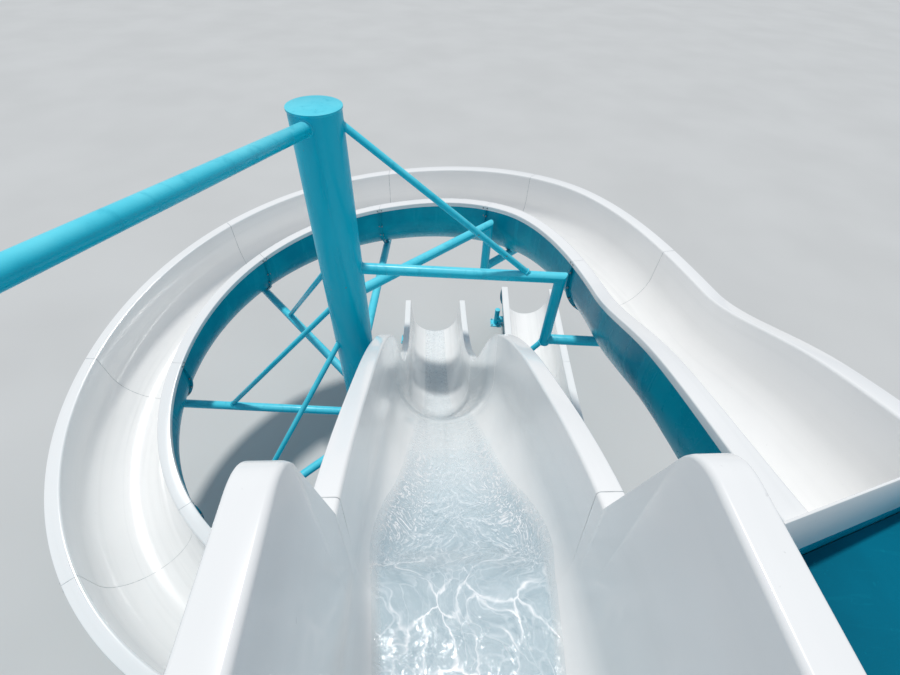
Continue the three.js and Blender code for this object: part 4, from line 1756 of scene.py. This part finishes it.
def radial(bearing: float, distance: float, height: float) -> Vector:
    """Point at a bearing and a distance from the column's middle."""
    return Vector((distance * math.cos(bearing), distance * math.sin(bearing), height))


def footing(piece: Piece, foot: Vector, half: float, depth: float) -> None:
    """Adds a square base plate on the ground with four anchor nuts.

    Args:
        piece: The piece that takes them, whose second finish is zinc.
        foot: Middle of the plate's underside.
        half: Half the plate's width.
        depth: Its thickness.
    """
    low = foot - Vector((half, half, 0.0))
    high = foot + Vector((half, half, depth))
    piece.add(slab(low, high, 0.003))
    reach = half * 0.76
    for across in (-reach, reach):
        for ahead in (-reach, reach):
            spot = foot + Vector((across, ahead, depth))
            piece.add(hex_bolt(0.022, half * 0.12, half * 0.1), 1, Matrix.Translation(spot))


def saddle(
    piece: Piece, flume: Flume, distance: float, bottom: float, half: float = 0.21, spread: float = 0.03
) -> None:
    """Adds two upright plates, cut to a flume's underside, with a curved strap on top of them.

    Args:
        piece: The piece that takes them.
        flume: The flume that rests in the saddle.
        distance: Where along the flume.
        bottom: Height of the plates' feet.
        half: Half the saddle's width.
        spread: Half the space between the plates.
    """
    thick, strap, count = 0.008, 0.007, 12
    for ahead in (-spread - thick, spread):
        station = flume.line.station(distance + ahead)
        outline = []
        for index in range(count + 1):
            across = half * (2 * index / count - 1)
            height = flume.underside_height(distance + ahead, across) - strap - 0.002
            spot = station.origin + station.across * across
            outline.append(Vector((spot.x, spot.y, height)))
        for across in (half * 0.62, -half * 0.62):
            corner = station.origin + station.across * across
            outline.append(Vector((corner.x, corner.y, bottom)))
        piece.add(plate(outline, station.forward * thick, 0.0))
    reach = spread + 2 * thick
    for outline in flume.section.band(0.001, strap + 0.001, 0.0, half):
        piece.add(sweep(flume.line, outline, [distance - reach, distance + reach]))


@dataclass
class Column:
    """The main column with its base plate.

    Attributes:
        gusset_toe: Height of the gussets' outer ends.
    """

    foot: float = 0.0253
    top: float = 4.92
    plate_radius: float = 0.34
    plate_depth: float = 0.025
    gussets: int = 6
    gusset_reach: float = 0.13
    gusset_height: float = 0.18
    gusset_depth: float = 0.016
    gusset_toe: float = 0.025

    def pipe(self) -> None:
        """Makes the column with its cap plate."""
        cap = 0.012
        piece = Piece("main_column", "pipe", [STEEL])
        low, high = Vector((0, 0, self.foot)), Vector((0, 0, self.top - cap))
        piece.add(rod(low, high, COLUMN, 64))
        piece.add(disc(high, UP, COLUMN + 0.006, cap, 64))
        piece.add(bead(high, UP, COLUMN + 0.001, 0.005))
        piece.done()

    def base(self) -> None:
        """Makes the base plate with its gussets and anchor nuts."""
        piece = Piece("main_column_base", "", [STEEL, ZINC])
        piece.nodes.append("column_base_plate")
        piece.add(disc(Vector(), UP, self.plate_radius, self.plate_depth, 72))
        deck = self.plate_depth
        reach, height, toe = self.gusset_reach, self.gusset_height, self.gusset_toe
        for index in range(self.gussets):
            bearing = (index + 0.5) * 2 * math.pi / self.gussets
            side = radial(bearing + QUARTER, self.gusset_depth, 0.0)
            corners = ((0.0, 0.0), (reach, 0.0), (reach, toe), (toe, height), (0.0, height))
            outline = [radial(bearing, COLUMN + out, deck + rise) - side / 2 for out, rise in corners]
            piece.add(plate(outline, side, 0.002))
            for turn in (-0.25, 0.25):
                spot = radial(bearing + turn * 2 * math.pi / self.gussets, self.plate_radius - 0.055, deck)
                piece.add(hex_bolt(0.03, 0.019, 0.016), 1, Matrix.Translation(spot))
        piece.add(bead(Vector((0, 0, deck + 0.002)), UP, COLUMN, 0.008))
        piece.done()

    def build(self) -> None:
        """Makes the column and its base."""
        self.pipe()
        self.base()


@dataclass
class Arms:
    """The support arms with their saddles, the stays and the raking strut.

    Attributes:
        seat_gap: Space between an arm and the flume's lowest line.
        past_seat: How far an arm reaches past that line.
        high: Heights of the upper parts of the first arms.
        hanger: Distance of the hangers from the column's middle.
        stay_arms: Arms that hang on a stay.
        stay_rise: Height of a stay's head above its foot.
        stay_out: Distance of a stay's foot.
        stay_limit: Highest place of a stay's head.
    """

    flume: CurvedFlume
    straight: StraightFlume
    seat_gap: float = 0.005
    past_seat: float = 0.115
    high: dict = field(default_factory=lambda: {1: 3.74, 2: 3.43})
    hanger: float = 1.7
    stay_arms: tuple[int, ...] = (1, 4, 5, 6, 7, 8)
    stay_rise: float = 1.56
    stay_out: float = 1.48
    stay_limit: float = 4.845

    def bearing(self, number: int) -> float:
        """Bearing of an arm."""
        return (number - 1) * QUARTER / 2

    def distance(self, number: int) -> float:
        """Distance along the curved slide where it passes over an arm.

        Args:
            number: The arm's number.

        Returns:
            The distance.
        """
        line = self.flume.line
        bearing = self.bearing(number)
        lead = 0.0
        if bearing < QUARTER:
            lead = math.asin(-line.turn_y * math.cos(bearing) / line.first_radius)
        return line.turned(math.degrees(bearing + lead))

    def low(self, number: int) -> float:
        """Height of the part of an arm under the flume."""
        drop = self.flume.section.depth + PIPE + self.seat_gap
        return self.flume.line.heights.at(self.distance(number)) - drop

    def arm(self, number: int) -> None:
        """Makes one arm with its saddle.

        Args:
            number: The arm's number.
        """
        bearing = self.bearing(number)
        distance = self.distance(number)
        low = self.low(number)
        x, y, _ = self.flume.line.plan(distance)
        along = radial(bearing, 1.0, 0.0)
        mouth = Vector((x, y, low)) + along * (self.past_seat - CAP)
        high = self.high.get(number, low)
        root = radial(bearing, COLUMN - 0.02, high)
        piece = Piece(f"support_arm_{number}", "pipe", [STEEL], mapped=True)
        if number in self.high:
            elbow = radial(bearing, self.hanger, high)
            foot = radial(bearing, self.hanger, low)
            piece.add(bent_pipe([root, elbow, foot - UP * (PIPE - 0.008)], PIPE, 36))
            piece.add(disc(foot - UP * PIPE, UP, PIPE + 0.004, 0.008))
            piece.add(rod(foot, mouth, PIPE, 36))
            piece.add(bead(foot + along * (PIPE * 0.55), along, PIPE, WELD))
        else:
            piece.add(rod(root, mouth, PIPE, 36))
        piece.add(disc(mouth, along, PIPE + CAP_EDGE, CAP))
        piece.add(bead(Vector((0, 0, high)), along, PIPE, WELD, COLUMN))
        saddle(piece, self.flume, distance, low)
        piece.done()

    def stay(self, number: int) -> None:
        """Makes one stay from the column to its arm.

        Args:
            number: The arm's number.
        """
        bearing = self.bearing(number)
        height = self.high.get(number, self.low(number))
        top = min(height + self.stay_rise, self.stay_limit)
        head = radial(bearing, COLUMN - PIPE, top)
        foot = radial(bearing, self.stay_out, height)
        along = (foot - head).normalized()
        piece = Piece(f"arm_stay_{number}", "pipe", [STEEL])
        piece.add(rod(head, foot, STAY, 24))
        piece.add(bead(head, along, STAY, 0.005, COLUMN))
        sink = PIPE / -along.z
        piece.add(bead(foot - along * sink, -along, STAY * 1.04))
        piece.done()

    def strut(self) -> None:
        """Makes the raking strut from the first hanger to the straight slide's flank."""
        aim, share = 0.62, 0.42
        head = radial(0.0, self.hanger, self.low(1))
        foot = head.lerp(radial(0.0, COLUMN, aim), share)
        along = (foot - head).normalized()
        piece = Piece("raking_strut", "pipe", [STEEL])
        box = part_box("raking_strut")
        reach = (box[0].x - head.x) / along.x
        end = head + along * (reach - 0.01)
        piece.add(rod(head, end, STAY, 24))
        piece.add(bead(head + along * (PIPE / -along.z), along, STAY, 0.005))
        piece.done()

    def bracket(self) -> None:
        """Makes the bracket from the column under the straight slide."""
        drop, sink, past = 0.42, 0.01, 0.07
        distance = self.straight.line.joints[2]
        seat = self.straight.seat(distance)
        height = seat.z - drop
        along = Vector((seat.x, seat.y, 0.0)).normalized()
        mouth = Vector((seat.x, seat.y, height)) + along * past
        piece = Piece("straight_slide_bracket", "pipe", [STEEL], mapped=True)
        piece.add(rod(along * (COLUMN - sink) + UP * height, mouth, PIPE, 36))
        piece.add(disc(mouth, along, PIPE + CAP_EDGE, 0.005))
        piece.add(bead(UP * height, along, PIPE, WELD, COLUMN))
        saddle(piece, self.straight, distance, height)
        piece.done()

    def build(self) -> None:
        """Makes all of them."""
        for number in range(1, 9):
            self.arm(number)
        for number in self.stay_arms:
            self.stay(number)
        self.strut()
        self.bracket()


@dataclass
class Legs:
    """Two legs with a crossbar under a slide.

    Attributes:
        distance: Where along it.
        out: Distance of the legs from the slide's middle.
        rise: Height of the legs' tops above the slide's lowest line.
        bar: Width of the crossbar.
    """

    node: str
    flume: Flume
    distance: float
    out: float = 0.5
    rise: float = 0.185
    bar: float = 0.09
    plate_half: float = 0.1
    plate_depth: float = 0.015

    def build(self) -> None:
        """Makes the legs."""
        station = self.flume.line.station(self.distance)
        seat = self.flume.seat(self.distance)
        piece = Piece(self.node, "frame", [STEEL, ZINC], mapped=True)
        top = seat.z + self.rise
        low = max(seat.z - self.bar, 0.0)
        ends = []
        for side in (-1, 1):
            foot = Vector((seat.x, seat.y, 0.0)) + station.across * (side * self.out)
            mouth = Vector((foot.x, foot.y, top - CAP))
            piece.add(rod(foot + UP * self.plate_depth, mouth, PIPE, 36))
            piece.add(disc(mouth, UP, PIPE + CAP_EDGE, CAP))
            piece.add(bead(foot + UP * self.plate_depth, UP, PIPE))
            footing(piece, foot, self.plate_half, self.plate_depth)
            ends.append(Vector((foot.x, foot.y, low)))
        side = station.forward * (self.bar / 2)
        outline = [ends[0] - side, ends[1] - side, ends[1] + side, ends[0] + side]
        height = min(seat.z - 0.012, low + self.bar) - low
        if height > 0.02:
            piece.add(plate(outline, UP * height, 0.006))
        saddle(piece, self.flume, self.distance, max(low + height * 0.5, 0.0), 0.21, 0.024)
        piece.done()


# Platform


@dataclass
class Platform:
    """The start platform: posts, beams, braces and deck.

    Attributes:
        edges: Left, right and rear edges of the deck.
        front_edges: Front edges of its left and middle parts, in y.
        tub_clearance: Space between the deck and the tub's middle line.
        tub_back: Space between the deck and the tub's rear end.
        joists: Place of each joist in x, and of its front end in y.
        brace_plate: Corners of a brace's end plate, ahead of the post and up.
    """

    left: float = -0.55
    right: float = 3.17
    front: float = -3.05
    rear: float = -4.84
    deck_top: float = 4.2
    deck_bottom: float = 4.14
    joist_bottom: float = 3.94
    beam_top: float = 3.9397
    beam_bottom: float = 3.7797
    beam_width: float = 0.08
    post_radius: float = 0.08415
    post_top: float = 5.45
    edges: tuple[float, float, float] = (-0.64, 3.26, -4.93)
    front_edges: tuple[float, float] = (-2.9, -2.338)
    tub_clearance: float = 0.504
    tub_back: float = 0.065
    joists: tuple[Point, ...] = ((0.33, -2.9), (1.69, -3.76), (3.05, -1.88))
    screw_pitch: float = 0.42
    tie_head: float = 4.815
    tie_foot: float = 5.31
    brace_plate: tuple[Point, ...] = ((0.0, -0.09), (0.0, 0.12), (0.09, 0.12), (0.12, 0.02))

    def posts(self) -> dict[str, Vector]:
        """The posts' feet by name.

        Returns:
            The feet, on the ground.
        """
        rows = {"front": self.front, "rear": self.rear}
        sides = {"left": self.left, "right": self.right}
        return {f"{row}_{side}": Vector((x, y, 0.0)) for row, y in rows.items() for side, x in sides.items()}

    def post(self, name: str, foot: Vector) -> None:
        """Makes one post with its base plate and cap.

        Args:
            name: The post's name.
            foot: Its place on the ground.
        """
        depth, cap = 0.025, 0.01
        piece = Piece(f"post_{name}", "pipe", [STEEL, ZINC])
        top = foot + UP * (self.post_top - cap)
        piece.add(rod(foot + UP * depth, top, self.post_radius, 48))
        piece.add(disc(top, UP, self.post_radius + 0.004, cap, 48))
        piece.add(bead(foot + UP * depth, UP, self.post_radius, 0.008))
        footing(piece, foot, 0.15, depth)
        for turn in range(4):
            bearing = QUARTER * (turn + 0.5)
            side = radial(bearing + QUARTER, 0.01, 0.0)
            start = self.post_radius - 0.002
            corners = ((0.0, 0.0), (0.07, 0.0), (0.07, 0.015), (0.0, 0.13))
            outline = [
                foot + radial(bearing, start + out, depth + rise) - side / 2 for out, rise in corners
            ]
            piece.add(plate(outline, side, 0.0015))
        piece.done()

    def channel(
        self, piece: Piece, start: Vector, end: Vector, height: float, width: float, open_way: Vector
    ) -> None:
        """Adds a rolled steel channel between two points.

        Args:
            piece: The piece that takes it.
            start: Middle of its lower edge at one end.
            end: The same at the other end.
            height: Its height.
            width: Its width.
            open_way: The side that it is open to.
        """
        web, flange, root = 0.008, 0.011, 0.0165
        half = width / 2
        foot = [(-half, 0.0), (half, 0.0), (half, flange), (web - half, root)]
        head = [(across, height - rise) for across, rise in reversed(foot)]
        outline = [start + open_way * across + UP * rise for across, rise in foot + head]
        piece.add(plate(outline, end - start, 0.0015))

    def beam(self, name: str, one: str, other: str, tub: Optional[StraightFlume] = None) -> None:
        """Makes one edge beam, with bolts at its ends or with the tub's saddle on it.

        Args:
            name: The beam's name.
            one: The post that it starts at.
            other: The post that it ends at.
            tub: The slide whose tub it carries.
        """
        posts = self.posts()
        start = posts[one] + UP * self.beam_bottom
        end = posts[other] + UP * self.beam_bottom
        along = (end - start).normalized()
        inside = self.post_radius - 0.004
        open_way = Vector((-along.y, along.x, 0.0))
        middle = Vector(((self.left + self.right) / 2, (self.front + self.rear) / 2, self.beam_bottom))
        if open_way.dot(middle - start) < 0:
            open_way = -open_way
        piece = Piece(f"beam_{name}", "channel", [STEEL, ZINC], mapped=True)
        height = self.beam_top - self.beam_bottom
        self.channel(piece, start + along * inside, end - along * inside, height, self.beam_width, open_way)
        if tub:
            saddle(piece, tub, tub.line.at(self.front), self.beam_top - 0.002, 0.2, 0.018)
        for corner, way in () if tub else ((start, along), (end, -along)):
            face = corner + way * (self.post_radius + 0.03)
            for rise in (height * 0.3, height * 0.7):
                for step in (0.0, 0.07):
                    spot = face + way * step + UP * rise - open_way * (self.beam_width / 2)
                    piece.add(hex_bolt(0.0, 0.012, 0.008), 1, facing_matrix(spot, -open_way))
        piece.done()

    def brace(self, name: str, one: str, other: str) -> None:
        """Makes one diagonal brace with flattened end plates.

        Args:
            name: The brace's name.
            one: The post at its lower end.
            other: The post at its upper end.
        """
        foot_height, head_drop = 0.35, 0.12
        posts = self.posts()
        start = posts[one] + UP * foot_height
        end = posts[other] + UP * (self.beam_bottom - head_drop)
        along = (end - start).normalized()
        inside = self.post_radius - 0.01
        slant = 1 / math.hypot(along.x, along.y)
        piece = Piece(f"brace_{name}", "pipe", [STEEL])
        piece.add(rod(start + along * (inside * slant), end - along * (inside * slant), STAY, 24))
        flat = Vector((along.x, along.y, 0.0)).normalized()
        across = UP.cross(flat) * 0.01
        for corner, way in ((start, 1.0), (end, -1.0)):
            spot = corner + flat * (way * (self.post_radius - 0.004)) - across / 2
            outline = [spot + (flat * ahead + UP * rise) * way for ahead, rise in self.brace_plate]
            piece.add(plate(outline, across, 0.001))
        piece.done()

    def deck_outline(self, flume: CurvedFlume, straight: StraightFlume, rise: float) -> list[Vector]:
        """Corners of the deck with its notch for the tub.

        Args:
            flume: The curved slide, whose rear lip the deck stops at.
            straight: The straight slide.
            rise: Height.

        Returns:
            The corners, counter-clockwise from above.
        """
        left, right, back = self.edges
        station = straight.line.station(0.0)
        along = station.forward
        notch = station.origin - along * self.tub_back
        left_side = notch + station.across * self.tub_clearance
        right_side = notch - station.across * self.tub_clearance

        def at_y(point: Vector, y: float) -> Vector:
            """Point on a line along the tub at a y value."""
            return point + along * ((y - point.y) / along.y)

        front_left, front_middle = self.front_edges
        corner, forward = flume.lip_plane(-0.0006)
        lip = forward.cross(UP)
        outline = [
            Vector((left, back, 0.0)),
            Vector((right, back, 0.0)),
            corner + lip * ((right - flume.lip_corner[0]) / lip.x),
            corner,
            Vector((flume.lip_corner[0], front_middle, 0.0)),
            at_y(right_side, front_middle),
            right_side,
            left_side,
            at_y(left_side, front_left),
            Vector((left, front_left, 0.0)),
        ]
        return [Vector((point.x, point.y, rise)) for point in outline]

    def deck(self, flume: CurvedFlume, straight: StraightFlume) -> None:
        """Makes the deck plate with its joists and screws.

        Args:
            flume: The curved slide.
            straight: The straight slide.
        """
        piece = Piece("deck", "plate", [DECK, STEEL, ZINC], Slot.DECK, mapped=True)
        top = self.deck_outline(flume, straight, self.deck_bottom)
        piece.add(plate(top, UP * (self.deck_top - self.deck_bottom), 0.002))
        height = self.deck_bottom - self.joist_bottom
        for x, stop in self.joists:
            start = Vector((x, self.rear, self.joist_bottom))
            end = Vector((x, stop, self.joist_bottom))
            self.channel(piece, start, end, height + 0.001, 0.06, Vector((1.0, 0.0, 0.0)))
        left, right, back = self.edges
        for x in (left + 0.05, *(x for x, _ in self.joists), right - 0.05):
            y = back + 0.12
            while y < self.front - 0.75:
                spot = Vector((x, y, self.deck_top - 0.001))
                piece.add(hex_bolt(0.0, 0.009, 0.0015), 2, Matrix.Translation(spot))
                y += self.screw_pitch
        piece.done()

    def tie(self) -> None:
        """Makes the tie from the column's head to the front left post."""
        head = UP * self.tie_head
        foot = Vector((self.left, self.front, self.tie_foot))
        along = (foot - head).normalized()
        flat = Vector((along.x, along.y, 0.0)).length
        start = head + along * ((COLUMN - 0.015) / flat)
        end = foot - along * ((self.post_radius - 0.01) / flat)
        piece = Piece("tower_tie", "pipe", [STEEL])
        piece.add(rod(start, end, PIPE, 36))
        piece.add(bead(head, along, PIPE, WELD, COLUMN))
        piece.add(bead(foot - along * (self.post_radius / flat), -along, PIPE, WELD))
        piece.done()

    def build(self, flume: CurvedFlume, straight: StraightFlume) -> None:
        """Makes the platform.

        Args:
            flume: The curved slide.
            straight: The straight slide.
        """
        for name, foot in self.posts().items():
            self.post(name, foot)
        self.beam("front", "front_left", "front_right", straight)
        self.beam("rear", "rear_left", "rear_right")
        self.beam("left", "rear_left", "front_left")
        self.beam("right", "rear_right", "front_right")
        self.brace("left", "rear_left", "front_left")
        self.brace("right", "rear_right", "front_right")
        self.brace("rear", "rear_left", "rear_right")
        self.deck(flume, straight)
        self.tie()


@dataclass
class Guardrail:
    """One guardrail on the deck.

    Attributes:
        post_start: Whether it starts at a post.
        post_end: Whether it ends at a post.
        height: Height of the top rail's axis above the deck.
        bay: Longest space between its stanchions.
        seat: Space between the deck and the stanchions' feet.
        inset: Space between a post's middle and the rails' ends.
    """

    node: str
    start: Point
    end: Point
    post_start: bool = True
    post_end: bool = True
    deck: float = 4.2
    height: float = 1.1
    radius: float = 0.0212
    rows: int = 4
    bay: float = 1.2
    seat: float = 0.0003
    inset: float = 0.082
    flange_radius: float = 0.052
    flange_depth: float = 0.008

    def build(self) -> None:
        """Makes the guardrail."""
        piece = Piece(self.node, "pipes", [STEEL, ZINC])
        first = Vector((*self.start, self.deck))
        last = Vector((*self.end, self.deck))
        along = (last - first).normalized()
        across = UP.cross(along)
        low = first + along * (self.inset if self.post_start else 0.0)
        high = last - along * (self.inset if self.post_end else 0.0)
        count = math.ceil((last - first).length / self.bay)
        rises = [UP * (self.height * row / self.rows) for row in range(1, self.rows)]
        for rise in rises:
            piece.add(rod(low + rise, high + rise, self.radius, 20))
        top = UP * self.height
        points = [low + top, high + top]
        if not self.post_end:
            points.append(high + UP * self.seat)
        piece.add(bent_pipe(points, self.radius, 20))
        for index in range(1, count if self.post_end else count + 1):
            foot = first.lerp(last, index / count)
            if index < count:
                piece.add(rod(foot + UP * self.seat, foot + top, self.radius, 20))
            piece.add(disc(foot + UP * self.seat, UP, self.flange_radius, self.flange_depth))
            piece.add(bead(foot + UP * self.flange_depth, UP, self.radius, 0.004))
            for way in (-1, 1):
                spot = foot + across * (0.037 * way) + UP * self.flange_depth
                piece.add(hex_bolt(0.0, 0.008, 0.005), 1, Matrix.Translation(spot))
            for rise in rises:
                piece.add(bead(foot + rise + along * self.radius, along, self.radius * 0.98, 0.003))
        piece.done()


@dataclass
class Stair:
    """The stair: two flights with a landing between them, going down towards -X.

    Attributes:
        near: Its rear side, in y.
        starts: Where the upper flight, the landing and the lower flight start, in x.
        side_above: Height of the side plates' top edge above the treads' line.
    """

    near: float = -4.73
    width: float = 0.84
    riser: float = 0.21
    going: float = 0.255
    steps: int = 9
    starts: tuple[float, float, float] = (-0.6403, -2.9356, -3.8359)
    landing_length: float = 0.9
    deck: float = 4.2
    tread: float = 0.04
    side: float = 0.012
    side_depth: float = 0.4
    side_above: float = 0.18

    @property
    def fall(self) -> float:
        """Fall of a flight for each metre."""
        return self.riser / self.going

    def stringer(self, piece: Piece, start: float, top: float, y: float, out: float) -> None:
        """Adds a flight's side plate with turned edges.

        Args:
            piece: The piece that takes it.
            start: Where the flight starts, in x.
            top: Height that it leads up to.
            y: The plate's outer face.
            out: -1 where the outer face looks to -Y, or else 1.
        """
        run = self.going * self.steps
        edge = top - self.riser + self.side_above

        def corners(low: float, high: float) -> list[Vector]:
            """Corners of a strip of the side plate, down to the ground at most.

            Args:
                low: How far its lower edge is below the plate's top edge.
                high: How far its upper edge is below it.

            Returns:
                The corners.
            """
            strip = []
            for x, drop in ((start, high), (start - run, high), (start - run, low), (start, low)):
                strip.append((x, edge - (start - x) * self.fall - drop))
            foot, height = strip[2]
            if height < 0.0:
                strip[2:3] = [(foot, 0.0), (foot - height / self.fall, 0.0)]
            return [Vector((x, y, max(height, 0.0))) for x, height in strip]

        thick = Vector((0.0, -out * self.side, 0.0))
        piece.add(plate(corners(self.side_depth, 0.0), thick, 0.0015))
        flange = Vector((0.0, -out * 0.05, 0.0))
        piece.add(plate(corners(self.side, 0.0), flange, 0.0015))

    def flight(self, name: str, start: float, top: float) -> None:
        """Makes one flight with its treads, nosings and side plates.

        Args:
            name: The flight's name.
            start: Where it starts, in x.
            top: Height that it leads up to.
        """
        piece = Piece(f"stair_flight_{name}", "steps", [STEEL, DECK, ZINC], Slot.DECK)
        far = self.near + self.width
        for index in range(self.steps):
            level = top - self.riser * (index + 1)
            front = start - self.going * index
            low = (front - self.going, self.near + self.side, level - self.tread)
            high = (front - 0.004, far - self.side, level)
            piece.add(slab(low, high, 0.003), 1)
            nosing = (front - self.going + 0.045, far - self.side, level + 0.003)
            piece.add(slab(low, nosing, 0.002))
            for y, way in ((self.near, -1.0), (far, 1.0)):
                for step in (0.07, 0.19):
                    spot = Vector((front - step, y, level - self.tread * 0.5))
                    piece.add(hex_bolt(0.0, 0.01, 0.006), 2, facing_matrix(spot, Vector((0.0, way, 0.0))))
        self.stringer(piece, start, top, self.near, -1.0)
        self.stringer(piece, start, top, far, 1.0)
        piece.done()

    def landing(self) -> None:
        """Makes the landing on its four legs."""
        level = self.deck / 2
        inset = PIPE + 0.01
        depth = 0.06
        start = self.starts[1]
        far = start - self.landing_length
        piece = Piece("stair_landing", "frame", [STEEL, DECK, ZINC], Slot.DECK)
        piece.add(slab((far, self.near, level - depth), (start, self.near + self.width, level), 0.004), 1)
        for x in (start - inset, far + inset):
            for y in (self.near + inset, self.near + self.width - inset):
                foot = Vector((x, y, 0.0))
                piece.add(rod(foot, foot + UP * (level - depth + 0.002), PIPE, 32))
                piece.add(disc(foot, UP, PIPE + 0.009, 0.012, 32))
                piece.add(bead(foot + UP * (level - depth - 0.002), UP, PIPE))
        piece.done()

    def line_height(self, x: float) -> float:
        """Height of the line of the treads' edges at an x value.

        Args:
            x: The x value.

        Returns:
            The height.
        """
        upper, landing, lower = self.starts
        if x > landing:
            return self.deck - self.riser - (upper - x) * self.fall
        level = self.deck / 2 - self.riser
        return level if x > lower else level - (lower - x) * self.fall

    def handrail(self, name: str, y: float) -> None:
        """Makes the handrail along one side.

        Args:
            name: The side's name.
            y: The handrail's place.
        """
        radius, height, foot_drop, end_inset = 0.0212, 1.1, 0.06, 0.06
        upper, landing, lower = self.starts
        corners = [upper - end_inset, landing, lower, lower - self.going * self.steps + end_inset]
        piece = Piece(f"stair_handrail_{name}", "pipes", [STEEL])
        for rise in (height, height / 2):
            points = [Vector((x, y, self.line_height(x) + self.riser + rise)) for x in corners]
            piece.add(bent_pipe(points, radius, 20))
        middles = [(corners[0] + corners[1]) / 2, (corners[2] + corners[3]) / 2]
        for x in corners + middles:
            line = self.line_height(x)
            low = max(line - foot_drop, 0.0)
            head = line + self.riser + height
            piece.add(rod(Vector((x, y, low)), Vector((x, y, head)), radius, 20))
            piece.add(disc(Vector((x, y, head - 0.002)), UP, radius, radius, 20))
        piece.done()

    def build(self) -> None:
        """Makes the stair."""
        gap = 0.0215
        self.flight("upper", self.starts[0], self.deck)
        self.flight("lower", self.starts[2], self.deck / 2)
        self.landing()
        self.handrail("front", self.near + self.width + gap)
        self.handrail("rear", self.near - gap)


# Stage


@dataclass
class Stage:
    """Camera, lights and floor.

    Attributes:
        roll: How far the camera is turned about its line of sight.
        lens: Focal length in millimetres, on a 36 mm wide sensor.
        sun_way: Direction that the key light shines in.
        sun_size: The light's apparent size, which softens the shadows.
    """

    eye: tuple[float, float, float] = (0.865, -2.785, 5.9)
    pitch: float = math.radians(46)
    roll: float = math.radians(2.8)
    lens: float = 18.0
    floor_reach: float = 90.0
    sun_way: tuple[float, float, float] = (0.12, -0.2, -1.0)
    sun_strength: float = 2.15
    sun_size: float = math.radians(5)
    sun_colour: tuple[float, float, float] = (1.0, 0.985, 0.96)
    sky_strength: float = 0.43
    sky_colour: Colour = (0.74, 0.85, 1.0, 1.0)

    def camera(self) -> None:
        """Sets up the camera, which looks down over the tub from behind."""
        data = bpy.data.cameras.new("view")
        data.lens = self.lens
        data.sensor_width = 36.0
        data.clip_end = 400.0
        camera = placed("view", data)
        tilt = Matrix.Rotation(QUARTER - self.pitch, 4, "X") @ Matrix.Rotation(self.roll, 4, "Z")
        camera.matrix_world = Matrix.Translation(self.eye) @ tilt
        bpy.context.scene.camera = camera

    def floor(self) -> None:
        """Lays the pale floor."""
        mesh = bmesh.new()
        bmesh.ops.create_grid(mesh, x_segments=1, y_segments=1, size=self.floor_reach)
        data = bpy.data.meshes.new("floor")
        mesh.to_mesh(data)
        mesh.free()
        data.materials.append(FloorPaint().material())
        floor = placed("floor", data)

    def key_light(self) -> None:
        """Adds the soft distant light from above."""
        data = bpy.data.lights.new("key", "SUN")
        data.energy = self.sun_strength
        data.angle = self.sun_size
        data.color = self.sun_colour
        lamp = placed("key", data)
        lamp.rotation_mode = "QUATERNION"
        lamp.rotation_quaternion = Vector(self.sun_way).to_track_quat("-Z", "Y")

    def surroundings(self) -> None:
        """Fills the room with soft light."""
        world = bpy.data.worlds.new("studio")
        bpy.context.scene.world = world
        world.use_nodes = True
        backdrop = world.node_tree.nodes["Background"]
        backdrop.inputs["Color"].default_value = self.sky_colour
        backdrop.inputs["Strength"].default_value = self.sky_strength

    def build(self) -> None:
        """Sets up the stage."""
        self.camera()
        self.floor()
        self.surroundings()
        self.key_light()
        bpy.context.scene.view_settings.view_transform = "Standard"


def guardrails(platform: Platform) -> list[Guardrail]:
    """The guardrails around the platform.

    Args:
        platform: The platform.

    Returns:
        The guardrails.
    """
    left, right, front, rear = platform.left, platform.right, platform.front, platform.rear
    tub_left, lip_end, stair_front = 0.454, -1.86, -3.83
    return [
        Guardrail("guardrail_left", (left, front), (left, stair_front), post_end=False),
        Guardrail("guardrail_rear", (left, rear), (right, rear)),
        Guardrail("guardrail_right", (right, rear), (right, front)),
        Guardrail("guardrail_right_front", (right, front), (right, lip_end), post_end=False),
        Guardrail("guardrail_front", (left, front), (tub_left, front), post_end=False),
    ]


def main() -> None:
    """Builds the pieces in order and keeps the sizes."""
    logging.basicConfig(level=logging.INFO, format="%(message)s")
    Stage().build()
    turns = [f"curved_slide_turn_{number}" for number in range(1, 9)]
    curved_names = ["curved_slide_start", *turns, "curved_slide_exit_upper", "curved_slide_exit_lower"]
    drops = [f"straight_slide_drop_{number}" for number in range(1, 4)]
    straight_names = ["straight_slide_tub", *drops, "straight_slide_exit"]
    curved_section = FlumeSection(0.475, 0.64, 0.004)
    straight_section = FlumeSection(0.5, 0.715, 0.023)
    curved = CurvedFlume(curved_line(), curved_section, curved_names, saddles=tuple(range(3, 9)))
    straight = StraightFlume(straight_line(), straight_section, straight_names, saddles=(2, 3))
    curved.build()
    straight.build()
    Column().build()
    Arms(curved, straight).build()
    leg_inset = 0.11
    Legs("curved_exit_legs", curved, curved.line.joints[-1] - leg_inset).build()
    Legs("straight_exit_legs", straight, straight.line.joints[-1] - leg_inset).build()
    Legs("straight_drop_legs", straight, straight.line.joints[3]).build()
    platform = Platform()
    platform.build(curved, straight)
    for rail in guardrails(platform):
        rail.build()
    Stair().build()


if __name__ == "__main__":
    main()
